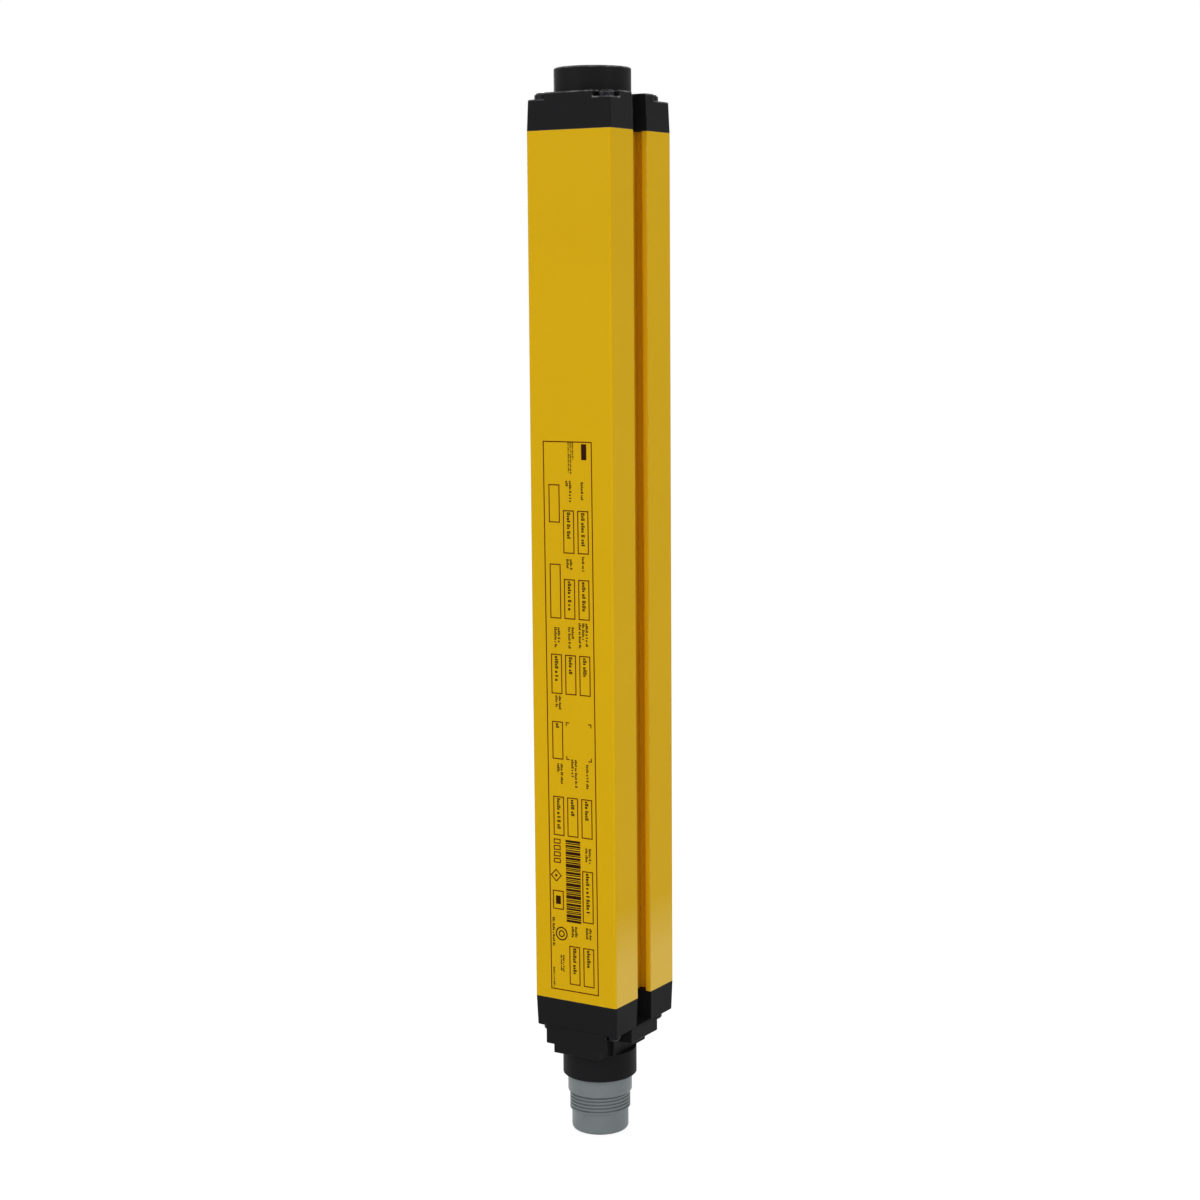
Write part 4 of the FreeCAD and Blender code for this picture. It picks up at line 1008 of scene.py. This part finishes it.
@dataclass(frozen=True)
class Row:
    """Boxes side by side, in millimetres from the lower edge of the print, with their entries."""

    low: float
    high: float
    entries: dict[Column, float]


@dataclass(frozen=True)
class Caption:
    """Lines of small marks that stand for wording, read downwards."""

    across: float
    top: float
    lengths: Lengths
    size: float = 1.15 * MM


@dataclass(frozen=True)
class Ring:
    """Round outline, or a square on its corner when it has four sides."""

    across: float
    up: float
    radius: float
    line: float
    sides: int = 40


@dataclass
class RearPrint:
    """Wordless type plate printed on the rear face: frame, fields, bars and plain marks.

    A box of the print is given by its two sides across and its two heights.
    """

    width: float = 23.7 * MM
    height: float = 232.4 * MM
    from_profile_end: float = 4.2 * MM
    middle_x: float = 0.92 * MM
    tilt: float = math.radians(0.34)
    line: float = 0.46 * MM
    proud: float = 0.04 * MM
    sunk: float = 0.02 * MM
    mark_line: float = 0.25
    mark_gap: float = 0.17
    word_gap: float = 0.4
    line_pitch: float = 1.45
    low_mark: float = 0.68
    entry_size: float = 1.6 * MM
    entry_from_top: float = 0.9 * MM
    word_lengths: tuple[int, ...] = (5, 3, 7, 4, 6)
    mark_order: tuple[Mark, ...] = (
        Mark.BOX, Mark.LOW_BOX, Mark.STROKE, Mark.LOW_BOX, Mark.SHORT, Mark.BOX, Mark.SHORT, Mark.LOW_BOX,
        Mark.STROKE, Mark.BOX, Mark.SHORT,
    )
    rows: tuple[Row, ...] = (
        Row(198.8, 214.6, {Column.LEFT: 0.0}),
        Row(186.2, 204.1, {Column.MIDDLE: 11.5, Column.RIGHT: 14.5}),
        Row(158.9, 181.7, {Column.LEFT: 0.0}),
        Row(158.9, 175.6, {Column.MIDDLE: 12.5, Column.RIGHT: 12.5}),
        Row(127.2, 144.0, {Column.LEFT: 11.0, Column.MIDDLE: 8.5, Column.RIGHT: 9.5}),
        Row(99.5, 115.6, {Column.LEFT: 3.0}),
        Row(66.9, 83.7, {Column.LEFT: 13.5, Column.MIDDLE: 8.0, Column.RIGHT: 9.5}),
        Row(30.7, 53.0, {Column.RIGHT: 17.5}),
        Row(3.1, 19.9, {Column.MIDDLE: 12.0, Column.RIGHT: 7.5}),
    )
    captions: tuple[Caption, ...] = (
        Caption(*mm(-2.6, 232.0), mm(7.0, 13.5, 12.5), 0.7 * MM),
        Caption(*mm(-6.9, 215.8), mm(8.0)),
        Caption(*mm(-1.2, 216.2), mm(8.8, 2.4)),
        Caption(*mm(-7.0, 185.1), mm(6.4)),
        Caption(*mm(-1.1, 183.9), mm(5.0, 5.0)),
        Caption(*mm(-8.3, 157.6), mm(10.0, 7.5, 11.0)),
        Caption(*mm(-1.5, 155.6), mm(5.0, 9.0)),
        Caption(*mm(5.3, 155.2), mm(6.5, 9.0)),
        Caption(*mm(5.3, 126.5), mm(6.0, 6.0)),
        Caption(*mm(-7.7, 98.4), mm(10.4)),
        Caption(*mm(-2.1, 100.0), mm(11.8, 8.0)),
        Caption(*mm(4.9, 97.7), mm(9.2, 4.0)),
        Caption(*mm(-8.4, 62.8), mm(6.6, 6.8)),
        Caption(*mm(-8.2, 28.6), mm(5.2, 5.2)),
        Caption(*mm(-1.1, 28.4), mm(4.6, 5.4)),
        Caption(*mm(5.3, 15.4), mm(7.4, 7.0), 0.8 * MM),
        Caption(*mm(10.1, 31.3), mm(13.0)),
        Caption(*mm(10.2, 9.6), mm(8.8), 0.8 * MM),
    )
    bar_code: Lengths = mm(-3.65, 3.6, 29.8, 65.4)
    bar_widths: Lengths = mm(1.0, 0.5, 0.8, 0.4, 0.5, 1.3, 0.5, 1.0, 0.4, 0.6, 1.5, 0.5, 0.4)
    gap_widths: Lengths = mm(0.25, 0.4, 0.25, 0.5, 0.3, 0.25, 0.4, 0.25, 0.35, 0.25, 0.3)
    corner_box: Lengths = mm(-9.9, 2.6, 99.6, 115.6)
    corner_arm: float = 1.6 * MM
    tick_sides: Lengths = mm(6.1, 9.5)
    tick_top: float = 65.4 * MM
    tick_height: float = 2.1 * MM
    tick_pitch: float = 2.75 * MM
    tick_count: int = 4
    plate_box: Lengths = mm(4.9, 10.3, 35.0, 43.2)
    plate_block: Lengths = mm(6.4, 8.8, 37.3, 40.9)
    head_block: Lengths = mm(-9.2, -6.7, 224.9, 231.4)
    diamond: Ring = Ring(*mm(8.5, 49.6, 2.8, 0.46), sides=4)
    diamond_core: Lengths = mm(8.0, 9.0, 49.1, 50.1)
    rings: tuple[Ring, ...] = (Ring(*mm(6.2, 24.6, 2.95, 0.55)), Ring(*mm(6.2, 24.6, 1.5, 0.5)))
    face_y: float = field(init=False)
    bottom: float = field(init=False)

    def __post_init__(self) -> None:
        """Reads the rear face and the lower end of the profile from the solids."""
        low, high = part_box("housing_profile")
        self.face_y = high.y
        self.bottom = low.z + self.from_profile_end

    def point(self, across: float, up: float) -> Place:
        """Place in space of a point of the print."""
        return (self.middle_x + across, self.face_y + self.proud, self.bottom + up)

    def bar(self, left: float, right: float, low: float, high: float) -> None:
        """Adds one filled rectangle; the print is in edit mode."""
        middle = self.point((left + right) / 2, (low + high) / 2)
        bpy.ops.mesh.primitive_plane_add(size=1, location=middle, rotation=(math.radians(-90), 0, 0))
        bpy.ops.transform.resize(value=(right - left, 1, high - low), center_override=middle)

    def open_out(self, line: float) -> None:
        """Leaves a line of the shape that was just added: it is inset, then opened."""
        bpy.ops.mesh.inset(thickness=line, depth=0)
        bpy.ops.mesh.delete(type="FACE")

    def hollow(self, box: Iterable[float], line: float) -> None:
        """Adds the outline of a rectangle."""
        self.bar(*box)
        self.open_out(line)

    def ring(self, ring: Ring) -> None:
        """Adds a round outline.

        Args:
            ring: its place and size.
        """
        middle = self.point(ring.across, ring.up)
        bpy.ops.mesh.primitive_circle_add(
            vertices=ring.sides, radius=ring.radius, location=middle, rotation=(math.radians(-90), 0, 0),
            fill_type="NGON",
        )
        self.open_out(ring.line)

    def mark(self, kind: Mark, across: float, top: float, size: float) -> None:
        """Adds one small mark; its foot is on the +X side.

        Args:
            kind: which plain shape.
            across: middle of the line of marks.
            top: where the mark starts, going down.
            size: height of a full mark.
        """
        height = size * (self.low_mark if kind in (Mark.SHORT, Mark.LOW_BOX) else 1.0)
        foot = across + size / 2
        box = (foot - height, foot, top - kind.value * size, top)
        if kind in (Mark.STROKE, Mark.SHORT):
            self.bar(*box)
        else:
            self.hollow(box, self.mark_line * size)

    def marks(self, across: float, top: float, length: float, size: float) -> None:
        """Adds one line of marks in groups, from the top down, with its own order of shapes.

        Args:
            across: middle of the line of marks.
            top: where the line starts.
            length: how far down it may reach.
            size: height of a full mark.
        """
        place, group = top, 0
        start = round(top / MM) + round(across / MM)
        for count in itertools.count():
            kind = self.mark_order[(start + count) % len(self.mark_order)]
            if place - kind.value * size < top - length:
                break
            self.mark(kind, across, place, size)
            place -= (kind.value + self.mark_gap) * size
            if (count + 1) % self.word_lengths[(start + group) % len(self.word_lengths)] == 0:
                place -= self.word_gap * size
                group += 1

    def corner_marks(self) -> None:
        """Adds the four corners of the open area."""
        left, right, low, high = self.corner_box
        for x, inward in ((left, 1), (right, -1)):
            for z, up in ((low, 1), (high, -1)):
                across = sorted((x, x + inward * self.corner_arm))
                along = sorted((z, z + up * self.line))
                self.bar(*across, *along)
                side = sorted((x, x + inward * self.line))
                arm = sorted((z + up * self.line, z + up * self.corner_arm))
                self.bar(*side, *arm)

    def bars(self) -> None:
        """Adds the field of parallel bars."""
        left, right, low, place = self.bar_code
        for width, gap in zip(itertools.cycle(self.bar_widths), itertools.cycle(self.gap_widths)):
            if place - width < low:
                break
            self.bar(left, right, place - width, place)
            place -= width + gap

    def outlines(self) -> None:
        """Adds all that is drawn in lines: frame, fields, corners and the plain symbols."""
        self.hollow((-self.width / 2, self.width / 2, 0.0, self.height), self.line)
        for row in self.rows:
            for column in row.entries:
                self.hollow((*column.value, *mm(row.low, row.high)), self.line)
        self.corner_marks()
        for step in range(self.tick_count):
            top = self.tick_top - step * self.tick_pitch
            self.hollow((*self.tick_sides, top - self.tick_height, top), self.line)
        self.ring(self.diamond)
        self.hollow(self.plate_box, self.line)

    def wording(self) -> None:
        """Adds all that is solid: marks, bars, blocks and the two rings."""
        for row in self.rows:
            top = row.high * MM - self.entry_from_top
            for column, entry in row.entries.items():
                self.marks(sum(column.value) / 2, top, entry * MM, self.entry_size)
        for caption in self.captions:
            for number, length in enumerate(caption.lengths):
                across = caption.across + number * self.line_pitch * caption.size
                self.marks(across, caption.top, length, caption.size)
        self.bars()
        for block in (self.head_block, self.diamond_core, self.plate_block):
            self.bar(*block)
        for ring in self.rings:
            self.ring(ring)

    def sheet(self, name: str, draw: Callable[[], None], finish: Finish) -> None:
        """Models one pass of the print in one mesh, turns it as it sits on the face and dresses it.

        Args:
            name: name of the piece.
            draw: adds the pass's shapes in edit mode.
            finish: its ink.
        """
        deselect_all()
        bpy.ops.mesh.primitive_plane_add(size=1, location=(0, 0, 0), enter_editmode=True)
        bpy.ops.mesh.delete(type="VERT")
        draw()
        bpy.ops.mesh.select_all(action="SELECT")
        centre = self.point(0.0, self.height / 2)
        bpy.ops.transform.rotate(value=-self.tilt, orient_axis="Y", center_override=centre)
        bpy.ops.object.mode_set(mode="OBJECT")
        piece = name_piece(name)
        place_in_mesh(piece)
        apply_modifier(piece, "SOLIDIFY", thickness=self.proud + self.sunk, offset=-1.0)
        dress(piece, finish)

    def build(self) -> None:
        """Prints the lines, then the marks."""
        self.sheet("rear_print_lines", self.outlines, LINE_INK)
        self.sheet("rear_print_marks", self.wording, PRINT_INK)


# ------------------------------------------------------------------ studio
@dataclass(frozen=True)
class SoftBox:
    """Square lamp with soft edges to its light."""

    name: str
    place: Place
    size: float
    power: float
    aim: Place = (0.0, 0.0, 0.187)

    def build(self) -> None:
        """Adds the lamp."""
        lamp = bpy.data.lights.new(self.name, "AREA")
        lamp.shape = "SQUARE"
        lamp.size = self.size
        lamp.energy = self.power
        holder = bpy.data.objects.new(self.name, lamp)
        holder.location = self.place
        holder.rotation_euler = (Vector(self.aim) - Vector(self.place)).to_track_quat("-Z", "Y").to_euler()
        bpy.context.scene.collection.objects.link(holder)


@dataclass
class Studio:
    """Pale floor, white surroundings, soft lamps and the camera."""

    floor_half: float = 4.0
    floor_drop: float = 0.1 * MM
    floor_colour: Colour = (0.86, 0.86, 0.86)
    floor_glow: float = 0.86
    floor_shade: float = 0.24
    floor_tone_scale: float = 3.0
    floor_tone: float = 0.98
    shadow_reach: float = 0.35
    shadow_fade: float = 3.0
    room_light: float = 0.46
    white: tuple[float, ...] = (1, 1, 1, 1)
    camera_place: Place = (-0.50909, 0.81943, 0.32425)
    camera_turn: Place = (82.254, 0.4286, -148.296)
    camera_lens: float = 69.67
    camera_sensor: float = 36.0
    camera_clip: tuple[float, float] = (0.01, 50.0)
    lamps: tuple[SoftBox, ...] = (
        SoftBox("key_lamp", (0.55, 1.35, 0.85), 0.9, 8.3),
        SoftBox("side_lamp", (-1.45, 0.25, 0.70), 0.9, 6.9),
        SoftBox("back_lamp", (0.95, -1.2, 0.85), 1.0, 11.0),
        SoftBox("low_lamp", (-0.40, 0.64, 0.0), 0.3, 1.0, (0.0, 0.0, -0.01)),
    )

    def backdrop_rays(self, graph: Graph) -> Socket:
        """One for rays that see the surroundings: from the camera, mirrored or let through.

        Args:
            graph: the tree to work in.

        Returns:
            The mask.
        """
        path = graph.node("LightPath")
        seen = graph.math("MAXIMUM", path.outputs["Is Camera Ray"], path.outputs["Is Glossy Ray"])
        return graph.math("MAXIMUM", seen, path.outputs["Is Transmission Ray"])

    def shown_floor(self, graph: Graph) -> Socket:
        """Floor as the camera sees it: nearly white, with the shadow near the object only.

        Args:
            graph: the floor's tree.

        Returns:
            The shader.
        """
        coords = graph.node("TexCoord").outputs["Object"]
        tone = BLOTCH.place(graph, {"Vector": coords, "Scale": self.floor_tone_scale}).outputs["Tone"]
        shade = graph.mix(tone, (self.floor_shade,) * 3, (self.floor_shade * self.floor_tone,) * 3)
        reach = graph.node("VectorMath", {0: coords}, operation="LENGTH").outputs["Value"]
        away = graph.spread(reach, self.shadow_reach, self.shadow_fade * self.shadow_reach, 0.0, 1.0)
        lit = graph.node("BsdfDiffuse", {"Color": graph.mix(away, shade, (0.0, 0.0, 0.0))})
        strength = graph.spread(away, 0.0, 1.0, self.floor_glow, 1.0)
        glow = graph.node("Emission", {"Color": self.white, "Strength": strength})
        return graph.node("AddShader", {0: glow.outputs[0], 1: lit.outputs[0]}).outputs[0]

    def floor_material(self) -> Material:
        """White floor that keeps the object's shadow, open to views from below.

        Returns:
            The material.
        """
        material = bpy.data.materials.new("pale_floor")
        material.use_nodes = True
        graph = Graph(material.node_tree)
        lit = graph.node("BsdfDiffuse", {"Color": (*self.floor_colour, 1)}).outputs[0]
        sides = {0: self.backdrop_rays(graph), 1: lit, 2: self.shown_floor(graph)}
        upper = graph.node("MixShader", sides).outputs[0]
        below = graph.node("NewGeometry").outputs["Backfacing"]
        clear = graph.node("BsdfTransparent").outputs[0]
        both = graph.node("MixShader", {0: below, 1: upper, 2: clear})
        graph.node("OutputMaterial", {"Surface": both.outputs[0]})
        return material

    def floor(self) -> None:
        """Adds the floor under the connector."""
        low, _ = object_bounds()
        deselect_all()
        place = (0, 0, low.z - self.floor_drop)
        bpy.ops.mesh.primitive_plane_add(size=2 * self.floor_half, location=place)
        floor = name_piece("floor")
        floor.data.materials.append(self.floor_material())
        floor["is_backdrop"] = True

    def surroundings(self) -> None:
        """White to the eye, plain grey light on the object."""
        scene = bpy.context.scene
        scene.world = bpy.data.worlds.new("studio")
        scene.world.use_nodes = True
        graph = Graph(scene.world.node_tree)
        seen = self.backdrop_rays(graph)
        strength = graph.spread(seen, 0.0, 1.0, self.room_light, 1.0)
        light = graph.node("Background", {"Color": self.white, "Strength": strength})
        graph.node("OutputWorld", {"Surface": light.outputs[0]})

    def camera(self) -> None:
        """Adds the camera."""
        camera = bpy.data.cameras.new("camera")
        camera.lens = self.camera_lens
        camera.sensor_width = self.camera_sensor
        camera.clip_start, camera.clip_end = self.camera_clip
        holder = bpy.data.objects.new("camera", camera)
        holder.location = self.camera_place
        holder.rotation_euler = tuple(math.radians(angle) for angle in self.camera_turn)
        bpy.context.scene.collection.objects.link(holder)
        bpy.context.scene.camera = holder

    def build(self) -> None:
        """Sets up the studio."""
        self.floor()
        self.surroundings()
        for lamp in self.lamps:
            lamp.build()
        self.camera()
        bpy.context.scene.view_settings.view_transform = "Standard"


# ------------------------------------------------------------------ assembly
def dress_solids() -> None:
    """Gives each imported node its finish."""
    for finish, names in SOLID_FINISHES:
        for name in names:
            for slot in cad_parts[name].material_slots:
                slot.material = finish.material()
            log.info("node %s: %s", name, finish.name)


def main() -> None:
    """Builds and dresses the light curtain, sub-assembly by sub-assembly."""
    logging.basicConfig(level=logging.INFO, format="%(name)s: %(message)s")
    dress_solids()
    RoundConnector().build()
    RearPrint().build()
    Studio().build()


if __name__ == "__main__":
    main()
